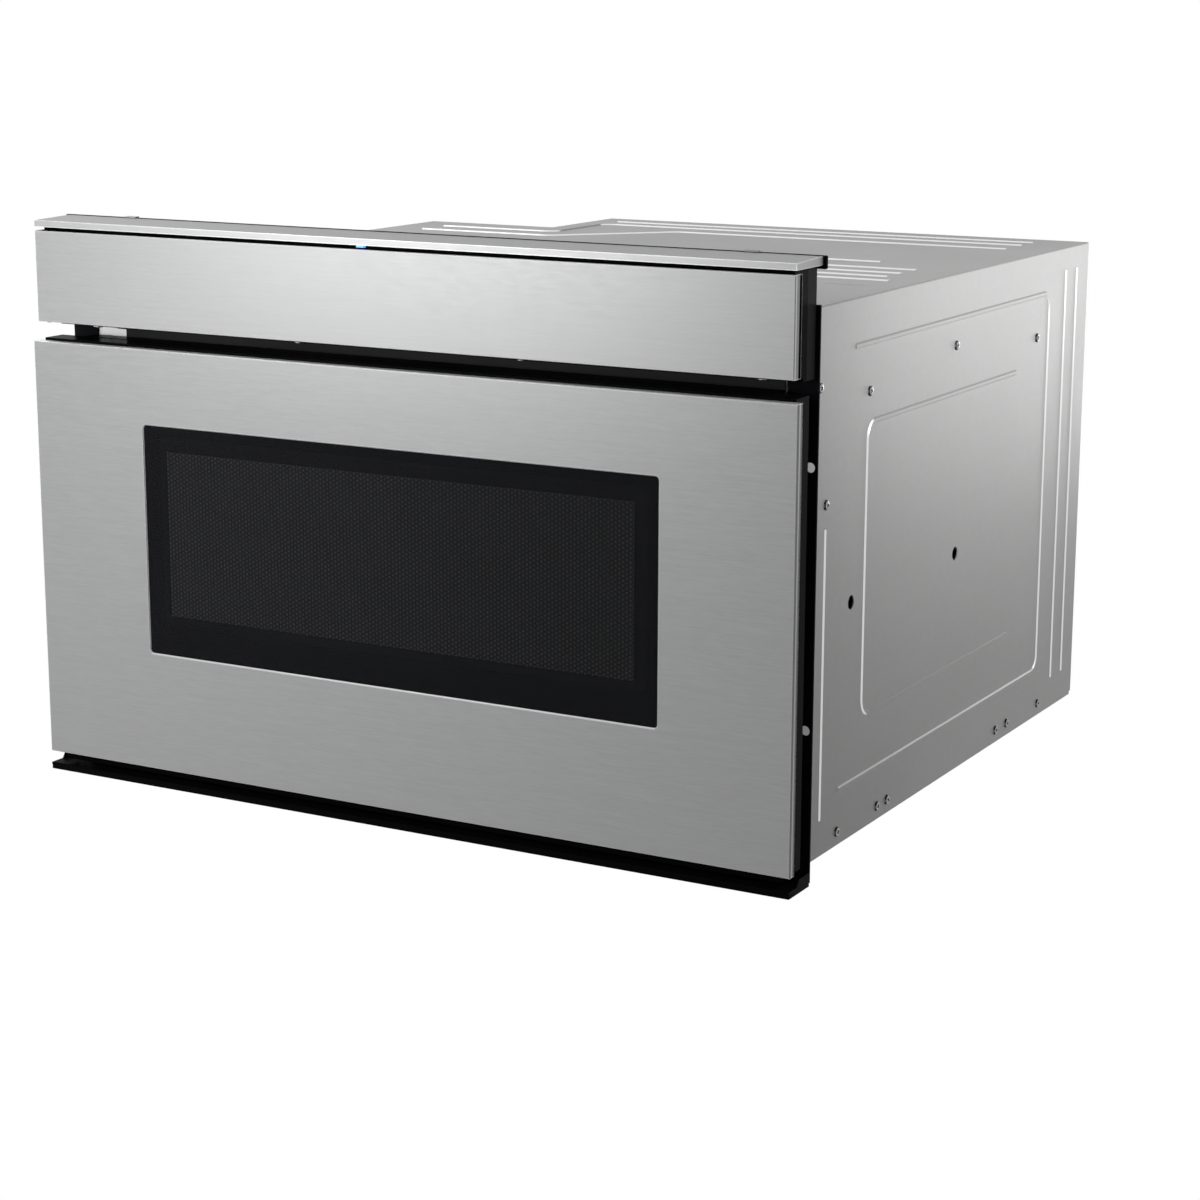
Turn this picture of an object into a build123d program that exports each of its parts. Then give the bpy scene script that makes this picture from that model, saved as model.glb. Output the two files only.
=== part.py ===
from build123d import *

import os
from math import acos, cos, pi, radians, sin, sqrt, tan

os.makedirs("parts", exist_ok=True)

# Built-in microwave drawer, closed, in millimetres.  X runs to the right, Y to the back, Z up.
# The origin is under the middle of the whole object, at the underside of its housing.
# Depths are counted from the drawer's stainless face and turned into y by behind().

# --- overall -------------------------------------------------------------------------------
overall_depth = 590.55
panel_width = 598.5

# --- clearances ----------------------------------------------------------------------------
fit_gap = 0.3
running_gap = 0.05
rail_gap = 0.3
drawer_gap = 13.9
trim_gap = 2.6

# --- housing sheet metal -------------------------------------------------------------------
case_width = 550.2
case_top = 368.9
case_sheet = 0.8
case_hem = 2.5
case_bend = 1.2
notch_width = 118.8
notch_depth = 102.0
rear_recess = 2.0
bead_width = 5.0
bead_rise = 1.0
chassis_sheet = 1.2
chassis_flange = 16.0
back_sheet = 0.8
back_flange = 14.0

# --- mounting flange, screwed to the cabinet ------------------------------------------------
flange_face = 39.6
flange_sheet = 1.5
flange_width = 589.8
flange_bottom = 1.8
flange_top = 375.4
flange_inner_width = 546.8
flange_inner_bottom = 14.0
flange_inner_top = 361.0
cabinet_hole_diameter = 6.6
cabinet_hole_spacing_x = 579.8
cabinet_hole_low = 103.1
cabinet_hole_high = 273.4

# --- bottom sash ---------------------------------------------------------------------------
sash_bottom = 6.4
sash_sheet = 1.6
sash_depth = 21.0
sash_riser = 12.0

# --- drawer front --------------------------------------------------------------------------
panel_bottom = 16.7
panel_height = 302.5
panel_sheet = 1.2
panel_return = 7.0
window_width = 407.6
window_bottom = 102.3
window_height = 163.8
window_corner = 2.5
window_bevel = 0.7
glass_thickness = 4.0
glass_border = 10.0
screen_sheet = 0.8
screen_width = 371.0
screen_bottom = 131.2
screen_height = 118.9
frame_width = 589.2
frame_bottom = 10.5
frame_top = 321.0
frame_back = 26.0
frame_wall = 3.0
door_back_width = 544.8
door_back_bottom = 24.0
door_back_top = 321.3
door_back_face = 38.6
door_back_wall = 1.5
tunnel_border = 4.5
inner_glass_thickness = 3.0
inner_glass_border = 6.0

# --- oven cavity ---------------------------------------------------------------------------
cavity_width = 440.0
cavity_floor = 92.0
cavity_height = 181.0
rear_bay = 120.45
slot_share = 0.8
lamp_slots = 3
cavity_sheet = 1.0
front_plate_sheet = 1.2
front_plate_return = 15.0
choke_width = 10.0
choke_offset = 1.5

# --- drawer bin ----------------------------------------------------------------------------
bin_gap = 4.0
bin_wall = 3.0
bin_rear_gap = 27.7
bin_side_gap = 16.0
bin_floor_width = cavity_width - 2 * bin_side_gap
bin_draft = 2.0
bin_front_height = 164.0
bin_rear_height = 104.0
bin_slope_start = 70.0
bin_slope_length = 110.0
bin_corner = 18.0
bin_corner_steps = 5
bin_flange_thickness = 2.2
tray_thickness = 5.0
tray_border = 22.0

# --- telescopic rails and drawer arms -------------------------------------------------------
rail_center = 165.4
rail_height = 45.6
rail_depth = 12.7
rail_sheet = 1.3
rail_length = 400.0
rail_setback = 5.0
rail_web_gap = 0.7
drawer_travel = 380.0
arm_sheet = 2.0
arm_height = 66.0
arm_foot = 16.0
slot_gap = 1.5

# --- drive ---------------------------------------------------------------------------------
gear_module = 2.0
pinion_teeth = 16
gear_width = 8.0
rack_drop = 31.4
rack_body = 7.5
gear_backlash = 0.35
pinion_depth = 66.0
pinion_shaft = 8.0
shaft_engagement = 8.0
motor_size = 54.0
drive_bracket_sheet = 1.5

# --- control panel and top trim ---------------------------------------------------------------
strip_width = 590.8
strip_height = 64.1
strip_setback = 1.4
strip_return = 10.0
wedge_width = 577.4
wedge_depth = 36.0
wedge_rear_drop = 13.0
tilt_axis_depth = 14.0
tilt_axis_rise = 6.9
tilt_pin = 5.0
control_wall = 3.0
control_side_width = 584.0
control_side_front = 7.0
control_floor_front = 22.0
control_bottom = 329.5
touch_glass_thickness = 2.0
trim_width = 591.8
trim_setback = 1.9
trim_face = 4.5
trim_rise = 1.1
trim_sheet = 1.2
lip_width = 596.8
lip_thickness = 1.9
lip_stand = 0.4
tab_rise = 0.6
lip_drop = 8.4
led_width = 6.0
led_x = -22.5

# --- microwave parts ------------------------------------------------------------------------
stirrer_dome_diameter = 180.0
stirrer_dome_height = 22.0
stirrer_diameter = 140.0
stirrer_cover_size = 196.0
stirrer_cover_thickness = 2.0
guide_width = 86.0
guide_height = 38.0
magnetron_width = 92.0
magnetron_depth = 76.0
magnetron_height = 98.0
magnetron_gap = 10.0
fin_count = 4
fan_diameter = 112.0
fan_frame = 124.0
fan_frame_depth = 25.0
fan_x = 132.0
fan_z = 245.0
fan_blades = 5
fan_motor_diameter = 44.0
fan_motor_length = 26.0
transformer_width = 96.0
transformer_depth = 78.0
transformer_height = 76.0
transformer_x = 205.0
capacitor_x = 74.0
capacitor_height = 92.0
board_thickness = 1.6
standoff_height = 9.0

# --- worked out from the above -----------------------------------------------------------------
case_half = case_width / 2
case_inner = case_half - case_sheet
case_front = flange_face + flange_sheet
notch_x = notch_width - case_half
notch_front = overall_depth - notch_depth
rear_face = overall_depth - rear_recess
rear_inner = rear_face - back_sheet
panel_top = panel_bottom + panel_height
strip_bottom = panel_top + drawer_gap
strip_top = strip_bottom + strip_height
trim_bottom = strip_top + trim_gap
trim_front_top = trim_bottom + trim_face
trim_rear_top = trim_front_top + trim_rise
lip_top = trim_rear_top + lip_stand
front_plate_back = case_front + front_plate_sheet
cavity_half = cavity_width / 2
cavity_outer = cavity_half + cavity_sheet
cavity_ceiling = cavity_floor + cavity_height
cavity_roof = cavity_ceiling + cavity_sheet
cavity_rear = rear_inner - rear_bay
cavity_depth = cavity_rear - cavity_sheet - front_plate_back
cavity_middle = front_plate_back + cavity_depth / 2
bin_rear = cavity_rear - cavity_sheet - bin_rear_gap
bin_length = bin_rear - door_back_face
window_center = window_bottom + window_height / 2
screen_center = screen_bottom + screen_height / 2
glass_back = panel_sheet + glass_thickness
screen_back = glass_back + screen_sheet
tunnel_width = screen_width + 2 * tunnel_border
tunnel_height = screen_height + 2 * tunnel_border
inner_glass_front = door_back_face - door_back_wall - inner_glass_thickness
rail_front = front_plate_back + rail_setback
arm_x = cavity_outer + rail_depth
rack_x = arm_x + arm_sheet
rack_pitch = rail_center - rack_drop
pitch_radius = gear_module * pinion_teeth / 2
pinion_z = rack_pitch - pitch_radius
arm_bottom = rail_center - arm_height / 2
arm_top = rail_center + arm_height / 2
bracket_x = rack_x + gear_width + 1.0
motor_x = bracket_x + drive_bracket_sheet
tilt_axis = strip_bottom + tilt_axis_rise
dome_top = cavity_roof + stirrer_dome_height
guide_top = dome_top + guide_height
magnetron_center = cavity_rear + magnetron_gap + magnetron_depth / 2


def behind(depth):
    """The y of a plane this far behind the drawer's stainless face."""
    return depth - overall_depth / 2


def facing_front(depth):
    """A plane that faces the user, at this depth: sketch x is X and sketch y is Z."""
    return Plane.XZ.offset(-behind(depth))


def block(x0, x1, depth0, depth1, z0, z1, mode=Mode.ADD):
    """A square-edged block between two corners, given in either order."""
    with Locations(((x0 + x1) / 2, behind((depth0 + depth1) / 2), (z0 + z1) / 2)):
        Box(abs(x1 - x0), abs(depth1 - depth0), abs(z1 - z0), mode=mode)


def save(piece, name):
    """Label a finished piece and write it as its own file."""
    piece.part.label = name
    export_step(piece.part, f"parts/{name}.step")


def case_plan(side_inset, rear_inset, front_depth):
    """Corners of the housing's plan, with the rear left notch, moved inwards."""
    left = side_inset - case_half
    right = case_half - side_inset
    rear = behind(overall_depth - rear_inset)
    notch_side = notch_x + rear_inset
    notch_wall = behind(notch_front - rear_inset)
    front = behind(front_depth)
    return (
        (left, front),
        (right, front),
        (right, rear),
        (notch_side, rear),
        (notch_side, notch_wall),
        (left, notch_wall),
    )


# --- fasteners: one list of places for each face, used by the holes and by the screws ---------
side_screws_high = ((164.4, 304.8), (315.8, 318.0), (479.6, 305.2), (97.4, 238.8), (84.7, 316.6))
side_screws_low = (125.6, 193.3, 210.8, 420.2, 443.4, 511.8)
low_screw_z = 9.8
access_holes = (141.3, 325.4)
access_hole_diameter = 10.0
screw_head = 6.8
screw_head_height = 1.6
screw_facets = 6
rod_facets = 14
corner_steps = 3
back_screw_inset = 9.0
control_screw_x = (-262.0, -88.0, 88.0, 262.0)
control_screw_depth = 27.0


def side_screw_places(side):
    """Depth and height of each screw on one side wall; the left wall ends at the notch."""
    wall_end = notch_front if side < 0 else overall_depth
    high = [place for place in side_screws_high if place[0] < wall_end]
    low = [(depth, low_screw_z) for depth in side_screws_low if depth < wall_end]
    return high + low


def back_screw_places():
    """x, depth of the panel's outer face, and z of each screw on the two rear faces."""
    rows = (back_screw_inset + case_hem, case_top / 2, case_top - back_screw_inset)
    right = case_inner - back_screw_inset
    middle = (notch_x + right) / 2
    rear = [(x, rear_face, z) for x in (notch_x + 2 * back_screw_inset, middle, right) for z in rows]
    notch = [(x, notch_front - rear_recess, z)
             for x in (back_screw_inset - case_inner, notch_x - 2 * back_screw_inset) for z in rows]
    return rear + notch


def round_along_x(x, depth, z, diameter, length, mode=Mode.SUBTRACT):
    """A round hole or rod centred on a point, along X."""
    with Locations(Location((x, behind(depth), z), (0, 90, 0))):
        Cylinder(diameter / 2, length, mode=mode)


def round_along_y(x, depth, z, diameter, length, mode=Mode.SUBTRACT):
    """A round hole or rod centred on a point, along Y."""
    with Locations(Location((x, behind(depth), z), (90, 0, 0))):
        Cylinder(diameter / 2, length, mode=mode)


def rod(plane, diameter, length, mode=Mode.ADD):
    """A turned piece with few facets, standing on a plane."""
    with BuildSketch(plane) as section:
        RegularPolygon(diameter / 2, rod_facets)
    extrude(section.sketch, amount=length, mode=mode)


def standing_rod(x, depth, z, diameter, length, mode=Mode.ADD):
    """A turned piece standing at a point."""
    rod(Plane(origin=(x, behind(depth), z)), diameter, length, mode)


def soft_rectangle(width, height, radius, steps=corner_steps, mode=Mode.ADD):
    """A rectangle whose corners turn in a few short facets."""
    outline = []
    for quarter in range(4):
        across = width / 2 - radius if quarter in (0, 3) else radius - width / 2
        up = height / 2 - radius if quarter < 2 else radius - height / 2
        for step in range(steps + 1):
            angle = pi / 2 * (quarter + step / steps)
            outline.append((across + radius * cos(angle), up + radius * sin(angle)))
    Polygon(*outline, align=None, mode=mode)


def screw(face_plane):
    """A screw's head seated on a face."""
    with BuildSketch(face_plane) as head:
        RegularPolygon(screw_head / 2, screw_facets)
    extrude(head.sketch, amount=screw_head_height)


# --- base chassis: floor tray with side flanges inside the wrap, and a hem below it ---------
chassis_rear = rear_recess + back_sheet
vent_slot_length = 40.0
vent_slot_width = 4.0
vent_slot_pitch = 12.0
floor_bead_width = 14.0
floor_bead_rise = 2.0
floor_bead_margin = 60.0
floor_bead_slope = 40.0
floor_bead_depths = [overall_depth * share for share in (0.24, 0.5, 0.72)]
floor_vents = 7
floor_vent_x = -60.0
floor_vent_inset = 60.0
with BuildPart() as base_chassis:
    with BuildSketch(Plane.XY):
        Polygon(*case_plan(0, chassis_rear, case_front), align=None)
    extrude(amount=case_hem)
    with BuildSketch(Plane.XY.offset(case_hem)):
        Polygon(*case_plan(case_sheet, chassis_rear, case_front), align=None)
    extrude(amount=chassis_flange - case_hem)
    with BuildSketch(Plane.XY.offset(chassis_sheet)):
        Polygon(*case_plan(case_sheet + chassis_sheet, chassis_rear + chassis_sheet, front_plate_back),
                align=None)
    extrude(amount=chassis_flange, mode=Mode.SUBTRACT)
    block(-case_half, case_half, case_front, front_plate_back, chassis_sheet, chassis_flange,
          mode=Mode.SUBTRACT)
    for bead_depth in floor_bead_depths:
        with BuildSketch(Plane.XY.offset(chassis_sheet)):
            with Locations((0, behind(bead_depth))):
                Rectangle(case_width - 2 * floor_bead_margin, floor_bead_width)
        extrude(amount=floor_bead_rise, taper=floor_bead_slope)
    with BuildSketch(Plane.XY):
        with Locations((floor_vent_x, behind(rear_face - floor_vent_inset))):
            with GridLocations(0, vent_slot_pitch, 1, floor_vents):
                Rectangle(vent_slot_length, vent_slot_width)
    extrude(amount=chassis_sheet, mode=Mode.SUBTRACT)
save(base_chassis, "base_chassis")

# --- wrap: one sheet over both sides and the top, stiffened by pressed beads ------------------
bead_root = 0.4
bead_crown = 2.0
turn_reach = 23.0
slant_start_reach = 35.0
slant_end_reach = 111.0
side_bead_bottom = 25.1
side_bead_top = 351.3
rear_bead_inset = 25.1
rear_bead_pitch = 24.6
contour_inset = 85.0
contour_front = 139.0
contour_bottom_front = 126.0
contour_bottom = 39.1
contour_top = 337.3
panel_front = 163.0
panel_reach = 69.0
panel_low = 82.1
panel_high = 284.0
front_bead_depth = 98.0
front_bead_top = 222.8
corner_radius = 12.0
top_bead_half = 240.0
top_vent_depth = 209.0
top_vent_x = 234.6
top_vent_length = 35.0
top_vent_width = 3.2
rear_lines = (30.0, 55.9, 90.0)
front_lines = ((244.7, 252.0), (269.1, 241.0), (293.5, 241.0), (320.0, 241.0), (360.9, 196.0))
notch_lines = (36.2, 68.9)


def path_bead(points, outward):
    """A pressed bead: a low crown swept through points on the sheet, its corners rounded."""
    with BuildLine() as path:
        if len(points) == 2:
            Line(points[0], points[1])
        else:
            FilletPolyline(*points, radius=corner_radius)
    direction = (points[1] - points[0]).normalized()
    with BuildSketch(Plane(origin=points[0], x_dir=outward.cross(direction), z_dir=direction)) as section:
        Polygon((-bead_width / 2, -bead_root), (bead_width / 2, -bead_root), (bead_crown / 2, bead_rise),
                (-bead_crown / 2, bead_rise), align=None)
    sweep(section.sketch, path=path.line)


def side_bead(side, corners):
    """A bead on a side wall through corners given as depth and height."""
    points = [Vector(side * case_half, behind(depth), z) for depth, z in corners]
    path_bead(points, Vector(side, 0, 0))


def top_bead(corners):
    """A bead on the top through corners given as x and depth."""
    points = [Vector(x, behind(depth), case_top) for x, depth in corners]
    path_bead(points, Vector(0, 0, 1))


with BuildPart() as case_wrap:
    with BuildSketch(Plane.XY.offset(case_hem)):
        Polygon(*case_plan(0, 0, case_front), align=None)
    extrude(amount=case_top - case_hem)
    top_edges = case_wrap.edges().filter_by(Axis.Y).group_by(Axis.Z)[-1].sort_by(Axis.X)
    fillet([top_edges[0], top_edges[-1]], case_bend)
    block(-case_inner, case_inner, case_front - 1, overall_depth + 1, 0, case_top - case_sheet,
          mode=Mode.SUBTRACT)
    for side in (-1, 1):
        wall_end = notch_front if side < 0 else overall_depth
        for inset in (rear_bead_inset, rear_bead_inset + rear_bead_pitch):
            side_bead(side, ((wall_end - inset, side_bead_bottom), (wall_end - inset, side_bead_top)))
        side_bead(side, ((contour_front, contour_top), (wall_end - contour_inset, contour_top),
                         (wall_end - contour_inset, contour_bottom), (contour_bottom_front, contour_bottom)))
        panel_rear = wall_end - contour_inset - panel_reach
        side_bead(side, ((panel_rear, panel_high), (panel_front, panel_high),
                         (panel_front, panel_low), (panel_rear, panel_low)))
        side_bead(side, ((front_bead_depth, side_bead_bottom), (front_bead_depth, front_bead_top)))
        for depth in access_holes:
            access = Plane(origin=(side * case_half, behind(depth), rail_center), z_dir=(side, 0, 0))
            rod(access.offset(-2 * case_sheet), access_hole_diameter, 4 * case_sheet, mode=Mode.SUBTRACT)
    first_line, second_line, third_line = [overall_depth - inset for inset in rear_lines]
    near_notch, before_notch = [notch_front - inset for inset in notch_lines]
    notch_turn = notch_x + turn_reach
    slant_start = notch_x + slant_start_reach
    slant_end = notch_x + slant_end_reach
    top_bead(((notch_turn, first_line), (top_bead_half, first_line)))
    top_bead(((top_bead_half, second_line), (notch_turn, second_line), (notch_turn, near_notch),
              (-top_bead_half, near_notch)))
    top_bead(((top_bead_half, third_line), (slant_end, third_line), (slant_start, before_notch),
              (-top_bead_half, before_notch)))
    for depth, half_length in front_lines:
        top_bead(((-half_length, depth), (half_length, depth)))
    with BuildSketch(Plane.XY.offset(case_top - 2 * case_sheet)):
        with Locations((top_vent_x, behind(top_vent_depth)), (-top_vent_x, behind(top_vent_depth))):
            Rectangle(top_vent_length, top_vent_width)
    extrude(amount=4 * case_sheet, mode=Mode.SUBTRACT)
save(case_wrap, "case_wrap")

# --- back panel: folded round the notch, set in a little so that its screws stay inside --------
fan_vent_rows = 7
fan_vent_pitch = 14.0
fan_vent_slot = 5.0
bushing_inset = 50.55
bushing_depth = overall_depth - bushing_inset
bushing_z = 60.0
bushing_neck = 15.6
bushing_bore = 10.0
bushing_flange = 22.0
bushing_length = 9.0
transformer_vents = 6
transformer_vent_share = 0.6
transformer_vent_rise = 8.0
with BuildPart() as back_panel:
    with BuildSketch(Plane.XY.offset(case_hem)):
        Polygon(*case_plan(case_sheet, rear_recess, case_front), align=None)
        Polygon(*case_plan(case_sheet + back_sheet, rear_recess + back_sheet, 0), align=None,
                mode=Mode.SUBTRACT)
    extrude(amount=case_top - case_sheet - case_hem)
    for side, wall_end in ((-1, notch_front), (1, overall_depth)):
        wall_front = wall_end - rear_recess - back_flange
        block(side * (case_inner - 2 * back_sheet), side * case_inner, 0, wall_front, 0, case_top,
              mode=Mode.SUBTRACT)
        block(side * (case_inner - 2 * back_sheet), side * case_inner, 0,
              wall_end - rear_recess - back_sheet, 0, chassis_flange + fit_gap, mode=Mode.SUBTRACT)
    with BuildSketch(facing_front(overall_depth)):
        for row in range(fan_vent_rows):
            rise = (row - (fan_vent_rows - 1) / 2) * fan_vent_pitch
            with Locations((fan_x, fan_z + rise)):
                Rectangle(2 * sqrt((fan_diameter / 2) ** 2 - rise ** 2), fan_vent_slot)
        with Locations((transformer_x, transformer_height / 2 + transformer_vent_rise)):
            with GridLocations(fan_vent_pitch, 0, transformer_vents, 1):
                Rectangle(fan_vent_slot, transformer_height * transformer_vent_share)
    extrude(amount=2 * (rear_recess + back_sheet), mode=Mode.SUBTRACT)
    round_along_x(notch_x + rear_recess, bushing_depth, bushing_z, bushing_neck, 6 * back_sheet)
save(back_panel, "back_panel")

with BuildPart() as housing_screws:
    for side in (-1, 1):
        outward = Vector(side, 0, 0)
        for depth, z in side_screw_places(side):
            screw(Plane(origin=(side * case_half, behind(depth), z), x_dir=(0, 1, 0), z_dir=outward))
    for x, depth, z in back_screw_places():
        screw(Plane(origin=(x, behind(depth), z), x_dir=(1, 0, 0), z_dir=(0, 1, 0)))
    for x in control_screw_x:
        screw(Plane(origin=(x, behind(control_screw_depth), control_bottom), x_dir=(1, 0, 0),
                    z_dir=(0, 0, -1)))
save(housing_screws, "housing_screws")

# The cord leaves through a bushing in the notch, where the plug has room behind the object.
with BuildPart() as cord_bushing:
    bushing_face = notch_x + rear_recess
    rod(Plane(origin=(bushing_face - rear_recess, behind(bushing_depth), bushing_z), z_dir=(1, 0, 0)),
        bushing_flange, rear_recess)
    rod(Plane(origin=(bushing_face, behind(bushing_depth), bushing_z), z_dir=(1, 0, 0)),
        bushing_neck - 2 * running_gap, bushing_length)
    round_along_x(bushing_face, bushing_depth, bushing_z, bushing_bore, 4 * bushing_length)
save(cord_bushing, "cord_bushing")

# --- mounting flange ---------------------------------------------------------------------------
with BuildPart() as mounting_flange:
    with BuildSketch(facing_front(case_front)):
        with Locations((0, (flange_bottom + flange_top) / 2)):
            Rectangle(flange_width, flange_top - flange_bottom)
        with Locations((0, (flange_inner_bottom + flange_inner_top) / 2)):
            Rectangle(flange_inner_width, flange_inner_top - flange_inner_bottom, mode=Mode.SUBTRACT)
        for z in (cabinet_hole_low, cabinet_hole_high):
            with Locations((-cabinet_hole_spacing_x / 2, z), (cabinet_hole_spacing_x / 2, z)):
                Circle(cabinet_hole_diameter / 2, mode=Mode.SUBTRACT)
    extrude(amount=flange_sheet)
save(mounting_flange, "mounting_flange")

# --- bottom sash: a plate under the drawer front, with a riser against the flange --------------
sash_top = sash_bottom + sash_sheet
with BuildPart() as bottom_sash:
    with BuildSketch(Plane.XY.offset(sash_bottom)):
        with Locations((0, behind(sash_depth / 2))):
            Rectangle(panel_width, sash_depth)
        with Locations((0, behind((sash_depth + flange_face) / 2))):
            Rectangle(flange_width, flange_face - sash_depth)
    extrude(amount=sash_sheet)
    block(-flange_inner_width / 2, flange_inner_width / 2, flange_face - sash_sheet, flange_face,
          sash_bottom, sash_top + sash_riser)
save(bottom_sash, "bottom_sash")

# --- oven cavity and its front plate -----------------------------------------------------------
cavity_corner = 8.0
lamp_z = 235.0
lamp_window = 24.0
exhaust_width = 110.0
exhaust_height = 34.0
exhaust_z = 240.0
vent_border = 6.0
vent_sheet = 0.8
vent_slots = 8
slot_width = gear_width + arm_sheet + rail_depth
rack_tip = rack_pitch - 0.9 * gear_module
slot_bottom = rack_tip - slot_gap
slot_top = arm_top + slot_gap
latch_x = 255.0
latch_z = 235.0
latch_sheet = 3.0
latch_height = 14.0
latch_reach = 66.0
intake_slots = 13
intake_pitch = 30.0
intake_z = 48.0
with BuildPart() as cavity_front_plate:
    block(-case_inner, case_inner, case_front, case_front + front_plate_return, chassis_sheet,
          case_top - case_sheet)
    block(front_plate_sheet - case_inner, case_inner - front_plate_sheet, front_plate_back,
          case_front + front_plate_return, 0, case_top - case_sheet - front_plate_sheet, mode=Mode.SUBTRACT)
    block(-case_half, case_half, front_plate_back, case_front + front_plate_return, 0,
          chassis_flange + fit_gap, mode=Mode.SUBTRACT)
    with BuildSketch(facing_front(front_plate_back)):
        with Locations((0, cavity_floor + cavity_height / 2)):
            soft_rectangle(cavity_width, cavity_height, cavity_corner)
        for side in (-1, 1):
            with Locations((side * (cavity_outer + slot_width / 2), (slot_bottom + slot_top) / 2)):
                Rectangle(slot_width + 2 * fit_gap, slot_top - slot_bottom)
            with Locations((side * latch_x, latch_z)):
                Rectangle(latch_sheet + 2 * slot_gap, latch_height + 2 * slot_gap)
        with Locations((0, intake_z)):
            with GridLocations(intake_pitch, 0, intake_slots, 1):
                Rectangle(vent_slot_width, intake_pitch * slot_share)
    extrude(amount=front_plate_sheet, mode=Mode.SUBTRACT)
save(cavity_front_plate, "cavity_front_plate")

with BuildPart() as cavity_shell:
    with BuildSketch(facing_front(cavity_rear)):
        with Locations((0, cavity_floor + cavity_height / 2)):
            soft_rectangle(cavity_width + 2 * cavity_sheet, cavity_height + 2 * cavity_sheet,
                           cavity_corner + cavity_sheet)
    extrude(amount=cavity_rear - front_plate_back)
    with BuildSketch(facing_front(cavity_rear - cavity_sheet)):
        with Locations((0, cavity_floor + cavity_height / 2)):
            soft_rectangle(cavity_width, cavity_height, cavity_corner)
    extrude(amount=cavity_rear - front_plate_back, mode=Mode.SUBTRACT)
    standing_rod(0, cavity_middle, cavity_roof - 2 * cavity_sheet, stirrer_dome_diameter - 4 * cavity_sheet,
                 4 * cavity_sheet, mode=Mode.SUBTRACT)
    block(-cavity_outer - 1, -cavity_half + 1, cavity_middle - lamp_window / 2,
          cavity_middle + lamp_window / 2, lamp_z - lamp_window / 2, lamp_z + lamp_window / 2,
          mode=Mode.SUBTRACT)
    block(-exhaust_width / 2, exhaust_width / 2, cavity_rear - 2 * cavity_sheet, cavity_rear + 1,
          exhaust_z - exhaust_height / 2, exhaust_z + exhaust_height / 2, mode=Mode.SUBTRACT)
save(cavity_shell, "cavity_shell")

with BuildPart() as cavity_vents:
    with BuildSketch(facing_front(cavity_rear + vent_sheet)):
        with Locations((0, exhaust_z)):
            Rectangle(exhaust_width + 2 * vent_border, exhaust_height + 2 * vent_border)
            with GridLocations(exhaust_width / vent_slots, 0, vent_slots, 1):
                Rectangle(vent_slot_width, exhaust_height * slot_share, mode=Mode.SUBTRACT)
    extrude(amount=vent_sheet)
    with BuildSketch(Plane.YZ.offset(-cavity_outer - vent_sheet)):
        with Locations((behind(cavity_middle), lamp_z)):
            Rectangle(lamp_window + 2 * vent_border, lamp_window + 2 * vent_border)
            with GridLocations(0, 2 * vent_slot_width, 1, lamp_slots):
                Rectangle(lamp_window * slot_share, vent_slot_width, mode=Mode.SUBTRACT)
    extrude(amount=vent_sheet)
save(cavity_vents, "cavity_vents")

# --- microwave feed: dome and stirrer over the ceiling, guide above, magnetron behind ------------
dome_wall = 1.0
feed_hole = 64.0
antenna_diameter = 14.0
antenna_length = 20.0
stirrer_shaft = 5.0
stirrer_motor_diameter = 50.0
stirrer_motor_height = 16.0
stirrer_foot_reach = 10.0
stirrer_foot_width = 12.0
stirrer_hub_share = 0.4
guide_overhang = 46.0
guide_end = magnetron_center + guide_overhang
with BuildPart() as stirrer_cover:
    with BuildSketch(Plane.XY.offset(cavity_ceiling - stirrer_cover_thickness)):
        with Locations((0, behind(cavity_middle))):
            soft_rectangle(stirrer_cover_size, stirrer_cover_size, cavity_corner)
    extrude(amount=stirrer_cover_thickness)
save(stirrer_cover, "stirrer_cover")

with BuildPart() as stirrer_dome:
    standing_rod(0, cavity_middle, cavity_roof, stirrer_dome_diameter, stirrer_dome_height)
    standing_rod(0, cavity_middle, cavity_roof, stirrer_dome_diameter + 6 * dome_wall, dome_wall)
    standing_rod(0, cavity_middle, cavity_roof, stirrer_dome_diameter - 2 * dome_wall,
                 stirrer_dome_height - dome_wall, mode=Mode.SUBTRACT)
    standing_rod(0, cavity_middle, cavity_roof, feed_hole, 2 * stirrer_dome_height, mode=Mode.SUBTRACT)
save(stirrer_dome, "stirrer_dome")

with BuildPart() as waveguide:
    block(-guide_width / 2, guide_width / 2, cavity_middle - guide_overhang, guide_end, dome_top, guide_top)
    block(dome_wall - guide_width / 2, guide_width / 2 - dome_wall,
          cavity_middle - guide_overhang + dome_wall, guide_end - dome_wall, dome_top + dome_wall,
          guide_top - dome_wall, mode=Mode.SUBTRACT)
    standing_rod(0, cavity_middle, dome_top, feed_hole, 2 * dome_wall, mode=Mode.SUBTRACT)
    standing_rod(0, magnetron_center, dome_top, 2 * antenna_diameter, 2 * dome_wall, mode=Mode.SUBTRACT)
    standing_rod(0, cavity_middle, dome_top, 2 * stirrer_shaft, 2 * guide_height, mode=Mode.SUBTRACT)
save(waveguide, "waveguide")

with BuildPart() as stirrer_motor:
    standing_rod(0, cavity_middle, guide_top, stirrer_motor_diameter, stirrer_motor_height)
    with BuildSketch(Plane.XY.offset(guide_top)):
        with Locations((0, behind(cavity_middle))):
            Rectangle(stirrer_motor_diameter + 2 * stirrer_foot_reach, stirrer_foot_width)
    extrude(amount=dome_wall)
    with Locations((0, behind(cavity_middle), guide_top)):
        Cylinder(stirrer_shaft / 2 + running_gap, stirrer_motor_height, mode=Mode.SUBTRACT)
save(stirrer_motor, "stirrer_motor")

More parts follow.
